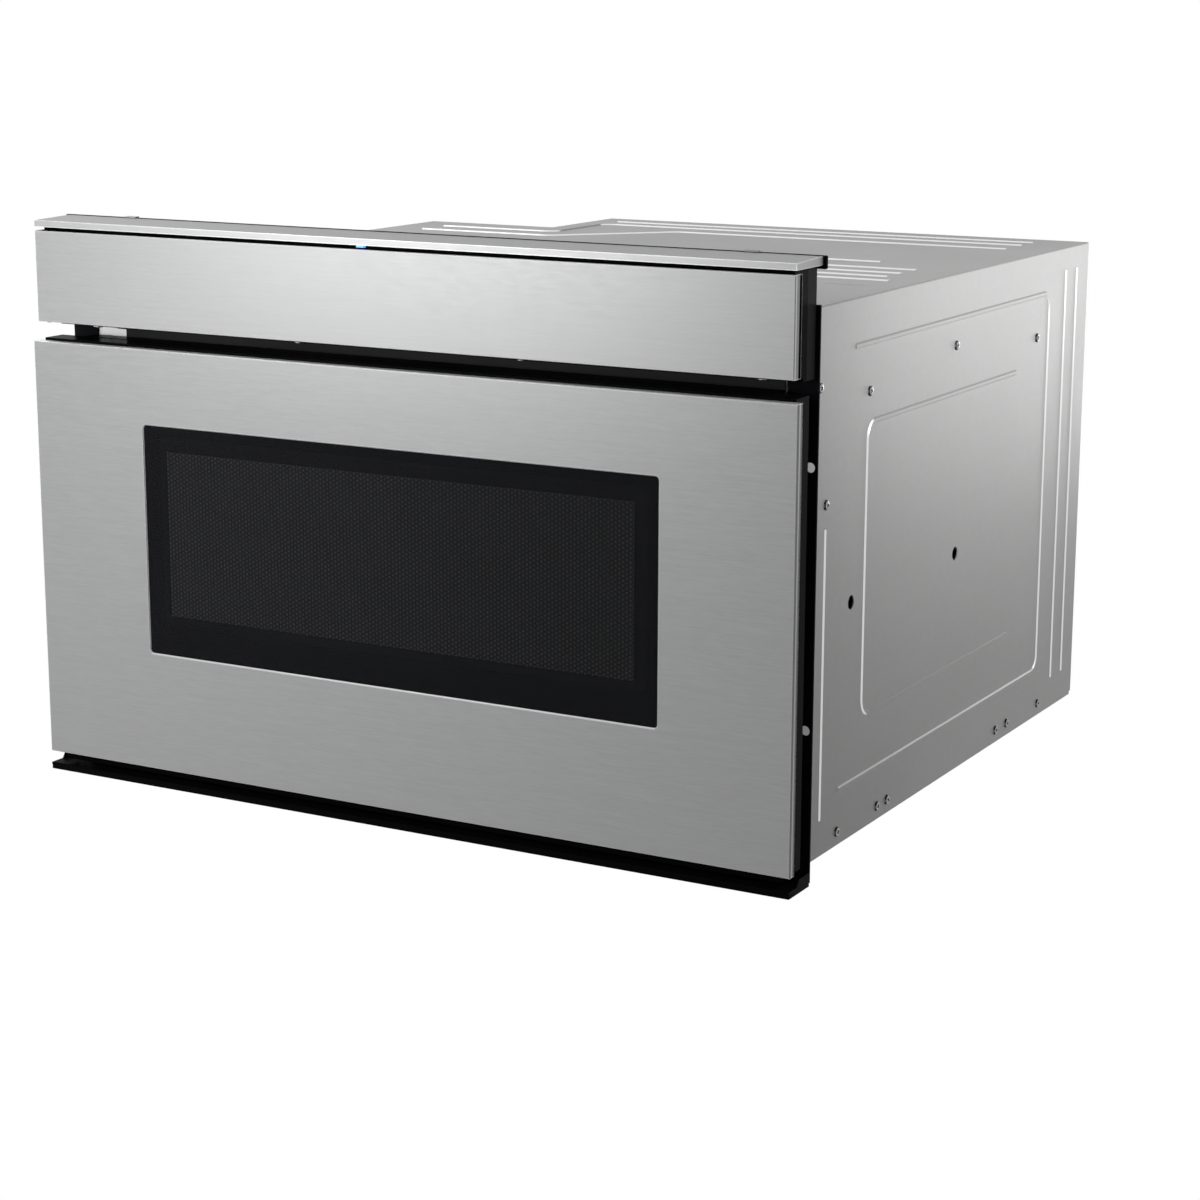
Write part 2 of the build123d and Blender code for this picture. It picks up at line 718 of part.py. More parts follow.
stirrer_middle = cavity_roof + stirrer_dome_height / 2
stirrer_hub = 14.0
stirrer_vanes = 4
vane_width = 30.0
vane_tilt = 15.0
with BuildPart() as stirrer_blade:
    hub_height = stirrer_dome_height * stirrer_hub_share
    standing_rod(0, cavity_middle, stirrer_middle - hub_height / 2, stirrer_hub, hub_height)
    with Locations((0, behind(cavity_middle), stirrer_middle)):
        Cylinder(stirrer_shaft / 2, guide_top - stirrer_middle + stirrer_motor_height * stirrer_hub_share,
                 align=(Align.CENTER, Align.CENTER, Align.MIN))
        with PolarLocations(0, stirrer_vanes):
            with Locations(Location((stirrer_diameter / 4, 0, 0), (vane_tilt, 0, 0))):
                Box(stirrer_diameter / 2, vane_width, dome_wall)
save(stirrer_blade, "stirrer_blade")

magnetron_wall = 3.0
anode_diameter = 38.0
filter_box_height = 24.0
fin_thickness = 0.8
filter_box_share = 0.8
with BuildPart() as magnetron:
    magnetron_bottom = dome_top - magnetron_height
    yoke_bottom = magnetron_bottom + filter_box_height
    half_width = magnetron_width / 2
    half_depth = magnetron_depth / 2
    block(-half_width, half_width, magnetron_center - half_depth, magnetron_center + half_depth,
          yoke_bottom, dome_top)
    block(-half_width, half_width, magnetron_center - half_depth + magnetron_wall,
          magnetron_center + half_depth - magnetron_wall, yoke_bottom + magnetron_wall,
          dome_top - magnetron_wall, mode=Mode.SUBTRACT)
    standing_rod(0, magnetron_center, yoke_bottom, anode_diameter, dome_top - yoke_bottom)
    fin_space = dome_top - yoke_bottom - 2 * magnetron_wall
    for fin in range(fin_count):
        fin_z = yoke_bottom + magnetron_wall + fin_space * (fin + 1) / (fin_count + 1)
        block(magnetron_wall - half_width, half_width - magnetron_wall, magnetron_center - half_depth,
              magnetron_center + half_depth, fin_z, fin_z + fin_thickness)
    block(-half_width * filter_box_share, half_width * filter_box_share,
          magnetron_center - half_depth * filter_box_share, magnetron_center + half_depth * filter_box_share,
          magnetron_bottom, yoke_bottom)
    standing_rod(0, magnetron_center, dome_top - magnetron_wall, antenna_diameter,
                 antenna_length + magnetron_wall)
save(magnetron, "magnetron")

# --- cooling fan, its frame on the back panel, and the duct to the magnetron ----------------------
fan_front = rear_inner - fan_frame_depth
fan_arm_width = 8.0
fan_arm_thickness = 3.0
fan_arms = 4
fan_arm_turn = 45.0
fan_shaft_share = 0.3
fan_ring_gap = 3.5
duct_corner_share = 0.45
fan_hub = 38.0
fan_shaft = 6.0
blade_thickness = 1.6
blade_pitch = 38.0
duct_wall = 1.2
duct_front = cavity_rear + magnetron_gap + vent_sheet
with BuildPart() as fan_shroud:
    with BuildSketch(facing_front(rear_inner)):
        with Locations((fan_x, fan_z)):
            Rectangle(fan_frame, fan_frame)
            RegularPolygon(fan_diameter / 2 + fan_ring_gap, rod_facets, mode=Mode.SUBTRACT)
    extrude(amount=fan_frame_depth)
    with BuildSketch(facing_front(fan_front + fan_arm_thickness)):
        with Locations((fan_x, fan_z)):
            with PolarLocations(0, fan_arms, fan_arm_turn):
                Rectangle(fan_diameter / 2 + 4, fan_arm_width, align=(Align.MIN, Align.CENTER))
            RegularPolygon(fan_motor_diameter / 2, rod_facets)
            RegularPolygon(fan_shaft, rod_facets, mode=Mode.SUBTRACT)
    extrude(amount=fan_arm_thickness)
save(fan_shroud, "fan_shroud")

with BuildPart() as fan_motor:
    rod(Plane(origin=(fan_x, behind(fan_front), fan_z), z_dir=(0, -1, 0)), fan_motor_diameter,
        fan_motor_length)
    round_along_y(fan_x, fan_front, fan_z, fan_shaft + 2 * running_gap, fan_motor_length)
save(fan_motor, "fan_motor")

with BuildPart() as fan_blade:
    hub_front = fan_front + fan_arm_thickness + 2 * fit_gap
    hub_length = rear_inner - hub_front - 8 * fit_gap
    hub_middle = hub_front + hub_length / 2
    shaft_front = fan_front - fan_motor_length * fan_shaft_share
    rod(Plane(origin=(fan_x, behind(hub_front), fan_z), z_dir=(0, 1, 0)), fan_hub, hub_length)
    round_along_y(fan_x, (shaft_front + hub_middle) / 2, fan_z, fan_shaft, hub_middle - shaft_front,
                  mode=Mode.ADD)
    blade_reach = (fan_diameter - fan_hub) / 2 + 2
    with Locations(Location((fan_x, behind(hub_middle), fan_z), (90, 0, 0))):
        with PolarLocations(0, fan_blades):
            with Locations(Location((fan_diameter / 2 - blade_reach / 2, 0, 0), (blade_pitch, 0, 0))):
                Box(blade_reach, hub_length, blade_thickness)
save(fan_blade, "fan_blade")

with BuildPart() as air_duct:
    duct_left = magnetron_width / 2 + fit_gap
    duct_right = fan_x + fan_frame / 2
    duct_low = fan_z - fan_frame / 2
    duct_high = fan_z + fan_frame / 2
    block(duct_left, duct_right, duct_front, fan_front, duct_low, duct_high)
    outer_corner = air_duct.edges().filter_by(Axis.Z).sort_by(Axis.X)[-2:].sort_by(Axis.Y)[0]
    fillet(outer_corner, (fan_front - duct_front) * duct_corner_share)
    offset(amount=-duct_wall, openings=air_duct.faces().sort_by(Axis.Y)[-1])
    block(duct_left - 1, duct_left + 2 * duct_wall, duct_front + duct_wall, fan_front + 1,
          duct_low + duct_wall, duct_high - duct_wall, mode=Mode.SUBTRACT)
save(air_duct, "air_duct")

# --- high-voltage parts on the floor -------------------------------------------------------------
winding_leg = 32.0
core_depth = 50.0
window_slot = 16.0
foot_sheet = 1.5
transformer_depth_center = (cavity_rear + rear_inner) / 2
core_bottom = chassis_sheet + foot_sheet
core_middle = core_bottom + transformer_height / 2
winding_height = transformer_height - 2 * window_slot
with BuildPart() as hv_transformer_core:
    block(transformer_x - transformer_width / 2 - 8, transformer_x + transformer_width / 2 + 8,
          transformer_depth_center - core_depth / 2, transformer_depth_center + core_depth / 2,
          chassis_sheet, core_bottom)
    block(transformer_x - transformer_width / 2, transformer_x + transformer_width / 2,
          transformer_depth_center - core_depth / 2, transformer_depth_center + core_depth / 2,
          core_bottom, core_bottom + transformer_height)
    with BuildSketch(facing_front(transformer_depth_center + core_depth / 2)):
        with Locations((transformer_x, core_middle)):
            with GridLocations(winding_leg + window_slot, 0, 2, 1):
                Rectangle(window_slot, winding_height)
    extrude(amount=core_depth, mode=Mode.SUBTRACT)
save(hv_transformer_core, "hv_transformer_core")

with BuildPart() as hv_transformer_windings:
    with BuildSketch(Plane.XY.offset(core_middle - winding_height / 2 + fit_gap)):
        with Locations((transformer_x, behind(transformer_depth_center))):
            Rectangle(winding_leg + 2 * window_slot - 2 * fit_gap, transformer_depth)
            Rectangle(winding_leg, core_depth, mode=Mode.SUBTRACT)
    extrude(amount=winding_height - 2 * fit_gap)
save(hv_transformer_windings, "hv_transformer_windings")

capacitor_width = 52.0
capacitor_thick = 33.0
terminal_height = 9.0
terminal_width = 6.0
terminal_sheet = 0.8
terminal_pitch = capacitor_width * 0.4
with BuildPart() as hv_capacitor:
    with BuildSketch(Plane.XY.offset(chassis_sheet)):
        with Locations((capacitor_x, behind(transformer_depth_center))):
            soft_rectangle(capacitor_width, capacitor_thick, capacitor_thick / 3)
    extrude(amount=capacitor_height)
    with Locations((capacitor_x, behind(transformer_depth_center), chassis_sheet + capacitor_height)):
        with GridLocations(terminal_pitch, 0, 2, 1):
            Box(terminal_width, terminal_sheet, terminal_height,
                align=(Align.CENTER, Align.CENTER, Align.MIN))
save(hv_capacitor, "hv_capacitor")

# --- circuit boards above the cavity, and the small parts round it --------------------------------


board_margin = 8.0
board_z = cavity_roof + standoff_height
standoff_width = 6.0
standoff_inset = 6.0
power_board_width = 150.0
power_board_length = 120.0
power_board_setback = 18.0
relay_width = 20.0
relay_height = 16.0
relay_pitch = 24.0
relays = 3
coil_width = 38.0
coil_height = 28.0
heat_sink_width = 36.0
heat_sink_sheet = 4.0
heat_sink_height = 30.0
filter_board_width = 90.0
filter_board_length = 100.0
filter_board_inset = 37.0


def board_on_posts(x0, depth0, width, length):
    """A board on four posts above the cavity roof."""
    block(x0, x0 + width, depth0, depth0 + length, board_z, board_z + board_thickness)
    with Locations((x0 + width / 2, behind(depth0 + length / 2), cavity_roof)):
        with GridLocations(width - 2 * standoff_inset, length - 2 * standoff_inset, 2, 2):
            Box(standoff_width, standoff_width, standoff_height,
                align=(Align.CENTER, Align.CENTER, Align.MIN))


def on_board(x, depth, width, length, height):
    """A square-edged component standing on a board."""
    block(x, x + width, depth, depth + length, board_z + board_thickness,
          board_z + board_thickness + height)


board_left = board_margin - cavity_half
with BuildPart() as power_board:
    board_front = front_plate_back + power_board_setback
    board_on_posts(board_left, board_front, power_board_width, power_board_length)
    for relay in range(relays):
        on_board(board_left + board_margin, board_front + board_margin + relay * relay_pitch, relay_width,
                 relay_width, relay_height)
    on_board(board_left + 2 * relay_pitch, board_front + relay_pitch, coil_width, coil_width, coil_height)
    for sink in range(relays):
        on_board(board_left + power_board_width - board_margin - heat_sink_width,
                 board_front + 2 * board_margin + sink * relay_pitch / 2, heat_sink_width, heat_sink_sheet,
                 heat_sink_height)
save(power_board, "power_board")

with BuildPart() as noise_filter_board:
    board_front = cavity_rear - filter_board_inset - filter_board_length
    board_on_posts(board_left, board_front, filter_board_width, filter_board_length)
    on_board(board_left + board_margin, board_front + 2 * board_margin, coil_width, coil_width, coil_height)
    on_board(board_left + filter_board_width - board_margin - relay_width, board_front + 2 * board_margin,
             relay_width, coil_width, relay_height)
save(noise_filter_board, "noise_filter_board")

lamp_depth = 40.0
bulb_diameter = 15.0
bulb_gap = 10.0
lamp_size = 36.0
with BuildPart() as oven_lamp:
    lamp_face = -cavity_outer - vent_sheet
    block(lamp_face - lamp_depth, lamp_face, cavity_middle - lamp_size / 2, cavity_middle + lamp_size / 2,
          lamp_z - lamp_size / 2, lamp_z + lamp_size / 2)
    offset(amount=-dome_wall, openings=oven_lamp.faces().sort_by(Axis.X)[-1])
    bulb_length = lamp_depth - bulb_gap
    rod(Plane(origin=(lamp_face - bulb_gap, behind(cavity_middle), lamp_z), z_dir=(-1, 0, 0)),
        bulb_diameter, bulb_length)
save(oven_lamp, "oven_lamp")

cutout_diameter = 16.0
cutout_height = 8.0
cutout_x = cavity_half * 0.7
cutout_depth = cavity_middle * 0.6
with BuildPart() as thermal_cutouts:
    standing_rod(cutout_x, cutout_depth, cavity_roof, cutout_diameter, cutout_height)
    standing_rod(guide_width / 4, magnetron_center, guide_top, cutout_diameter, cutout_height)
save(thermal_cutouts, "thermal_cutouts")

switch_width = 18.0
switch_height = 28.0
switch_length = 34.0
plunger_half = 2.0
plunger_drop = 0.6
plunger_start = 8.0
plunger_end_inset = 4.0
with BuildPart() as interlock_switches:
    for side in (-1, 1):
        switch_bottom = latch_z + latch_height / 2 + slot_gap
        block(side * (latch_x - switch_width / 2), side * (latch_x + switch_width / 2), front_plate_back,
              front_plate_back + switch_length, switch_bottom, switch_bottom + switch_height)
        block(side * (latch_x - plunger_half), side * (latch_x + plunger_half),
              front_plate_back + plunger_start, front_plate_back + switch_length - plunger_end_inset,
              switch_bottom - plunger_drop, switch_bottom)
save(interlock_switches, "interlock_switches")

# --- telescopic rails: three nested channels a side ------------------------------------------------
rail_end = rail_front + rail_length
half_rail = rail_height / 2


def channel(side, web, tip, half_height, depth0, depth1):
    """A U channel on one side: web and tip are distances from the cavity wall."""
    inner, outer = sorted((web, tip))
    web_inner, web_outer = (inner, inner + rail_sheet) if web < tip else (outer - rail_sheet, outer)
    block(side * (cavity_outer + web_inner), side * (cavity_outer + web_outer), depth0, depth1,
          rail_center - half_height, rail_center + half_height)
    for sign in (-1, 1):
        edge = rail_center + sign * half_height
        block(side * (cavity_outer + inner), side * (cavity_outer + outer), depth0, depth1,
              edge - sign * rail_sheet, edge)


middle_half = half_rail - rail_sheet - rail_gap
inner_half = middle_half - rail_sheet - rail_gap
middle_web = rail_sheet + rail_web_gap
for side, word in ((-1, "left"), (1, "right")):
    with BuildPart() as rail_outer:
        channel(side, 0, rail_depth - rail_web_gap, half_rail, rail_front, rail_end)
    save(rail_outer, f"rail_outer_{word}")
    with BuildPart() as rail_middle:
        channel(side, middle_web, rail_depth - rail_sheet - rail_web_gap, middle_half, rail_front, rail_end)
    save(rail_middle, f"rail_middle_{word}")
    with BuildPart() as rail_inner:
        channel(side, rail_depth, middle_web + rail_sheet + rail_web_gap, inner_half, rail_front, rail_end)
    save(rail_inner, f"rail_inner_{word}")

# --- drive: rack on the right arm, pinion, gearmotor and bracket --------------------------------
pressure_angle = radians(20)
tooth_pitch = pi * gear_module
tooth_thickness = tooth_pitch / 2 - gear_backlash / 2
rack_addendum = 0.9 * gear_module
pinion_addendum = 0.95 * gear_module
dedendum = 1.25 * gear_module
teeth_ahead = 3
rack_teeth = int((drawer_travel + 2 * pitch_radius) / tooth_pitch) + teeth_ahead
pinion_width = gear_width - 1.0
arm_end = max(rail_end, pinion_depth + (rack_teeth - teeth_ahead) * tooth_pitch)


def involute(angle):
    return tan(angle) - angle


def pinion_outline():
    """Corners of the spur pinion, one tooth pointing straight up at the rack."""
    base_radius = pitch_radius * cos(pressure_angle)
    tip_radius = pitch_radius + pinion_addendum
    root_radius = pitch_radius - dedendum
    flank_steps = 2
    radii = [base_radius + (tip_radius - base_radius) * step / flank_steps for step in range(flank_steps + 1)]
    corners = []
    for tooth in range(pinion_teeth):
        middle = pi / 2 - 2 * pi * tooth / pinion_teeth
        flank = []
        for radius in radii:
            pressure = acos(min(1.0, base_radius / radius))
            half = tooth_thickness / (2 * pitch_radius) + involute(pressure_angle) - involute(pressure)
            flank.append((radius, half))
        flank.insert(0, (root_radius, flank[0][1]))
        corners += [(radius, middle + half) for radius, half in flank]
        corners += [(radius, middle - half) for radius, half in reversed(flank)]
    return [(radius * cos(angle), radius * sin(angle)) for radius, angle in corners]


def rack_outline():
    """Corners of the rack seen from the right: teeth point down, a gap stands over the pinion."""
    tip_half = tooth_thickness / 2 - rack_addendum * tan(pressure_angle)
    root_half = tooth_thickness / 2 + dedendum * tan(pressure_angle)
    root = rack_pitch + dedendum
    tip = rack_pitch - rack_addendum
    corners = []
    for tooth in range(-teeth_ahead, rack_teeth - teeth_ahead):
        middle = behind(pinion_depth) + tooth * tooth_pitch + tooth_pitch / 2
        corners += [(middle - root_half, root), (middle - tip_half, tip),
                    (middle + tip_half, tip), (middle + root_half, root)]
    corners += [(corners[-1][0], root + rack_body), (corners[0][0], root + rack_body)]
    return corners


with BuildPart() as drive_rack:
    with BuildSketch(Plane.YZ.offset(rack_x)):
        with BuildLine():
            Polyline(*rack_outline(), close=True)
        make_face()
    extrude(amount=gear_width)
save(drive_rack, "drive_rack")

with BuildPart() as drive_pinion:
    pinion_x = rack_x + (gear_width - pinion_width) / 2
    with BuildSketch(Plane.YZ.offset(pinion_x)):
        with Locations((behind(pinion_depth), pinion_z)):
            Polygon(*pinion_outline(), align=None)
    extrude(amount=pinion_width)
    shaft_end = motor_x + shaft_engagement
    round_along_x((pinion_x + shaft_end) / 2, pinion_depth, pinion_z, pinion_shaft, shaft_end - pinion_x,
                  mode=Mode.ADD)
save(drive_pinion, "drive_pinion")

gearbox_front = front_plate_back + 3.0
gearbox_height = 50.0
gearbox_thickness = 15.0
motor_can_diameter = 24.0
motor_can_length = 52.0
motor_can_share = 0.7
bracket_reach = 8.0
bracket_foot = 18.0
bracket_rise = 26.0
bracket_top = pinion_z + bracket_rise
with BuildPart() as drive_bracket:
    bracket_rear = gearbox_front + motor_size + bracket_reach
    block(bracket_x, motor_x, gearbox_front, bracket_rear, chassis_sheet, bracket_top)
    block(bracket_x - bracket_foot, motor_x, gearbox_front, bracket_rear,
          chassis_sheet, chassis_sheet + drive_bracket_sheet)
    round_along_x(bracket_x, pinion_depth, pinion_z, pinion_shaft + 4, 4 * drive_bracket_sheet)
save(drive_bracket, "drive_bracket")

with BuildPart() as drive_motor:
    with BuildSketch(Plane.YZ.offset(motor_x)):
        with Locations((behind(gearbox_front + motor_size / 2), pinion_z)):
            Rectangle(motor_size, gearbox_height)
            with Locations((behind(pinion_depth) - behind(gearbox_front + motor_size / 2), 0)):
                Circle(pinion_shaft / 2 + running_gap, mode=Mode.SUBTRACT)
    extrude(amount=gearbox_thickness)
    standing_rod(motor_x + motor_can_diameter / 2, gearbox_front + motor_size * motor_can_share,
                 pinion_z - gearbox_height / 2, motor_can_diameter, -motor_can_length)
save(drive_motor, "drive_motor")

# --- drawer arms ------------------------------------------------------------------------------------
arm_slot_width = 10.8
arm_slot_drop = 13.0
arm_slot_length = rail_length * 0.15
arm_slot_places = (0.18, 0.55, 0.86)
arm_foot_height = arm_height * 0.8
for side, word in ((-1, "left"), (1, "right")):
    with BuildPart() as drawer_arm:
        block(side * arm_x, side * (arm_x + arm_sheet), door_back_face, arm_end, arm_bottom, arm_top)
        block(side * arm_x, side * (arm_x + arm_foot), door_back_face, door_back_face + arm_sheet,
              arm_top - arm_foot_height, arm_top)
        with BuildSketch(Plane.YZ.offset(side * arm_x)):
            for place in arm_slot_places:
                with Locations((behind(rail_front + rail_length * place), arm_top - arm_slot_drop)):
                    Rectangle(arm_slot_length, arm_slot_width)
        extrude(amount=side * arm_sheet, mode=Mode.SUBTRACT)
    save(drawer_arm, f"drawer_arm_{word}")

# --- drawer front: stainless pan, window glass, screen, moulded frame and inner plate ---------------
panel_half = panel_width / 2
panel_corner = 1.5
with BuildPart() as drawer_front_panel:
    block(-panel_half, panel_half, 0, panel_return, panel_bottom, panel_top)
    front_edges = drawer_front_panel.faces().sort_by(Axis.Y)[0].edges()
    fillet(front_edges, panel_corner / 2)
    block(panel_sheet - panel_half, panel_half - panel_sheet, panel_sheet, panel_return + 1,
          panel_bottom + panel_sheet, panel_top - panel_sheet, mode=Mode.SUBTRACT)
    with BuildSketch(facing_front(panel_sheet)):
        with Locations((0, window_center)):
            RectangleRounded(window_width, window_height, window_corner)
    extrude(amount=panel_sheet, mode=Mode.SUBTRACT)
    window_edges = drawer_front_panel.faces().sort_by(Axis.Y)[0].inner_wires()[0].edges()
    chamfer(window_edges, window_bevel)
save(drawer_front_panel, "drawer_front_panel")

glass_width = window_width + 2 * glass_border
glass_height = window_height + 2 * glass_border
with BuildPart() as window_glass:
    with BuildSketch(facing_front(glass_back)):
        with Locations((0, window_center)):
            RectangleRounded(glass_width, glass_height, window_corner + glass_border / 2)
    extrude(amount=glass_thickness)
save(window_glass, "window_glass")

screen_border = 8.0
with BuildPart() as window_screen:
    with BuildSketch(facing_front(screen_back)):
        with Locations((0, screen_center)):
            Rectangle(screen_width + 2 * screen_border, screen_height + 2 * screen_border)
    extrude(amount=screen_sheet)
save(window_screen, "window_screen")

frame_half = frame_width / 2
frame_step = 7.3
frame_inset = 1.5
frame_web = 3.0
pad_border = 6.0
pad_depth = 3.0
skirt_chamfer = 5.0
frame_ribs = (-262.0, -205.0, -100.0, 0.0, 100.0, 205.0, 262.0)
rib_sheet = 2.0
web_front = panel_sheet
web_back = web_front + frame_web
web_bottom = panel_bottom + frame_inset
web_top = panel_top - frame_inset
with BuildPart() as door_frame:
    block(-frame_half, frame_half, web_front, frame_step, web_bottom, web_top)
    block(-frame_half, frame_half, frame_step, frame_back, frame_bottom, frame_top)
    chamfer(door_frame.edges().filter_by(Axis.Y).group_by(Axis.Z)[0], skirt_chamfer)
    block(frame_wall - frame_half, frame_half - frame_wall, web_back, frame_back + 1,
          web_bottom + frame_wall, web_top - frame_wall, mode=Mode.SUBTRACT)
    block(frame_wall - frame_half, frame_half - frame_wall, frame_step + frame_wall, frame_back + 1,
          frame_bottom + frame_wall, frame_top - frame_wall, mode=Mode.SUBTRACT)
    for x in frame_ribs:
        block(x - rib_sheet / 2, x + rib_sheet / 2, web_front, frame_back, web_bottom, web_top)
    with BuildSketch(facing_front(screen_back + pad_depth)):
        with Locations((0, window_center)):
            Rectangle(glass_width + 2 * pad_border, glass_height + 2 * pad_border)
    extrude(amount=screen_back + pad_depth - web_front)
    with BuildSketch(facing_front(inner_glass_front)):
        with Locations((0, screen_center)):
            Rectangle(tunnel_width + 2 * frame_wall, tunnel_height + 2 * frame_wall)
    extrude(amount=inner_glass_front - screen_back)
    with BuildSketch(facing_front(glass_back)):
        with Locations((0, window_center)):
            soft_rectangle(glass_width + 2 * fit_gap, glass_height + 2 * fit_gap,
                           window_corner + glass_border / 2)
    extrude(amount=glass_thickness, mode=Mode.SUBTRACT)
    with BuildSketch(facing_front(screen_back)):
        with Locations((0, screen_center)):
            Rectangle(screen_width + 2 * (screen_border + fit_gap),
                      screen_height + 2 * (screen_border + fit_gap))
    extrude(amount=screen_sheet, mode=Mode.SUBTRACT)
    with BuildSketch(facing_front(inner_glass_front)):
        with Locations((0, screen_center)):
            Rectangle(tunnel_width, tunnel_height)
    extrude(amount=inner_glass_front - web_front, mode=Mode.SUBTRACT)
save(door_frame, "door_frame")

door_back_half = door_back_width / 2
with BuildPart() as inner_door_plate:
    block(-door_back_half, door_back_half, frame_back, door_back_face, door_back_bottom, door_back_top)
    back_edges = inner_door_plate.faces().sort_by(Axis.Y)[-1].edges()
    fillet(back_edges, door_back_wall)
    block(door_back_wall - door_back_half, door_back_half - door_back_wall, 0,
          door_back_face - door_back_wall, door_back_bottom + door_back_wall,
          door_back_top - door_back_wall, mode=Mode.SUBTRACT)
    with BuildSketch(facing_front(door_back_face)):
        with Locations((0, screen_center)):
            soft_rectangle(screen_width, screen_height, cavity_corner)
    extrude(amount=2 * door_back_wall, mode=Mode.SUBTRACT)
save(inner_door_plate, "inner_door_plate")

with BuildPart() as inner_glass:
    with BuildSketch(facing_front(inner_glass_front + inner_glass_thickness)):
        with Locations((0, screen_center)):
            soft_rectangle(screen_width + 2 * inner_glass_border, screen_height + 2 * inner_glass_border,
                           inner_glass_border)
    extrude(amount=inner_glass_thickness)
save(inner_glass, "inner_glass")

choke_sheet = 2.2
choke_inner = 2 * choke_offset
choke_outer = choke_inner + 2 * choke_width
with BuildPart() as choke_cover:
    with BuildSketch(facing_front(door_back_face + choke_sheet)):
        with Locations((0, cavity_floor + cavity_height / 2)):
            soft_rectangle(cavity_width + choke_outer, cavity_height + choke_outer,
                           cavity_corner + choke_width)
            soft_rectangle(cavity_width + choke_inner, cavity_height + choke_inner, cavity_corner,
                           mode=Mode.SUBTRACT)
    extrude(amount=choke_sheet)
save(choke_cover, "choke_cover")

# --- drawer bin: one moulding, open at the door, with its sides stepped down at the back ------------
bin_floor = cavity_floor + bin_gap
bin_lead = 30.0
bin_flange_inset = 2.0
bin_flange_drop = 2.5
bin_flange_half = cavity_half - bin_flange_inset
bin_flange_low = bin_floor - bin_flange_drop
with BuildPart() as drawer_bin:
    with BuildSketch(Plane.XY.offset(bin_floor)):
        with Locations((0, behind((door_back_face + bin_rear - bin_lead) / 2))):
            soft_rectangle(bin_floor_width, bin_length + bin_lead, bin_corner, bin_corner_steps)
    extrude(amount=bin_front_height, taper=-bin_draft)
    chamfer(drawer_bin.faces().sort_by(Axis.Z)[0].edges(), bin_wall)
    with BuildSketch(facing_front(door_back_face + bin_flange_thickness)):
        with Locations((0, (bin_flange_low + bin_floor + bin_front_height) / 2)):
            Rectangle(2 * bin_flange_half, bin_floor + bin_front_height - bin_flange_low)
    extrude(amount=bin_flange_thickness)
    with BuildSketch(Plane.XY.offset(bin_floor + bin_wall)):
        with Locations((0, behind((door_back_face + bin_rear - bin_lead) / 2))):
            soft_rectangle(bin_floor_width - 2 * bin_wall, bin_length + bin_lead - 2 * bin_wall,
                           bin_corner - bin_wall, bin_corner_steps)
    extrude(amount=bin_front_height, taper=-bin_draft, mode=Mode.SUBTRACT)
    block(-cavity_width, cavity_width, -bin_lead, door_back_face, 0, case_top, mode=Mode.SUBTRACT)
    with BuildSketch(Plane.YZ.offset(-cavity_half)) as side_step:
        with BuildLine():
            slope_top = (behind(door_back_face + bin_slope_start), bin_floor + bin_front_height)
            slope_end = (behind(door_back_face + bin_slope_start + bin_slope_length),
                         bin_floor + bin_rear_height)
            Spline(slope_top, slope_end, tangents=((1, 0), (1, 0)))
            Polyline(slope_end, (behind(overall_depth), slope_end[1]), (behind(overall_depth), case_top),
                     (slope_top[0], case_top), slope_top)
        make_face()
    extrude(amount=cavity_width, mode=Mode.SUBTRACT)
save(drawer_bin, "drawer_bin")

with BuildPart() as glass_tray:
    with BuildSketch(Plane.XY.offset(bin_floor + bin_wall)):
        with Locations((0, behind((door_back_face + bin_rear) / 2))):
            soft_rectangle(bin_floor_width - 2 * tray_border, bin_length - 2 * tray_border, tray_border)
    extrude(amount=tray_thickness)
    chamfer(glass_tray.edges().group_by(Axis.Z)[-1], tray_thickness / 5)
save(glass_tray, "glass_tray")

# --- latch hooks, each working the switches behind the front plate ------------------------------------
hook_neck = 4.0
with BuildPart() as latch_hooks:
    for side in (-1, 1):
        with BuildSketch(Plane.YZ.offset(side * latch_x)):
            hook_top = latch_z + latch_height / 2
            hook_low = latch_z - latch_height / 2
            Polygon((behind(door_back_face), hook_low), (behind(latch_reach), hook_low + hook_neck),
                    (behind(latch_reach), hook_top - 1), (behind(latch_reach) - 2, hook_top),
                    (behind(front_plate_back) + 3, hook_top),
                    (behind(front_plate_back) + 1, hook_top - hook_neck),
                    (behind(door_back_face), hook_top - hook_neck), align=None)
        extrude(amount=latch_sheet / 2, both=True)
save(latch_hooks, "latch_hooks")

with BuildPart() as drawer_screws:
    for side in (-1, 1):
        for depth in access_holes:
            arm_face = (side * (arm_x + arm_sheet), behind(depth), rail_center)
            screw(Plane(origin=arm_face, x_dir=(0, 1, 0), z_dir=(side, 0, 0)))
save(drawer_screws, "drawer_screws")

# --- control housing: fixed box behind the strip --------------------------------------------------
control_sheet = 2.0
control_half = control_side_width / 2
control_rear = flange_face
control_top_front = 8.0
control_side_rise = 2.5
control_top_sheet = 1.8
trim_ribs = (-240.0, -120.0, 0.0, 120.0, 240.0)


def trim_underside(depth):
    """Height of the underside of the sloping trim at this depth."""
    share = (depth - trim_setback) / (flange_face - trim_setback)
    return trim_front_top + trim_rise * share - trim_sheet


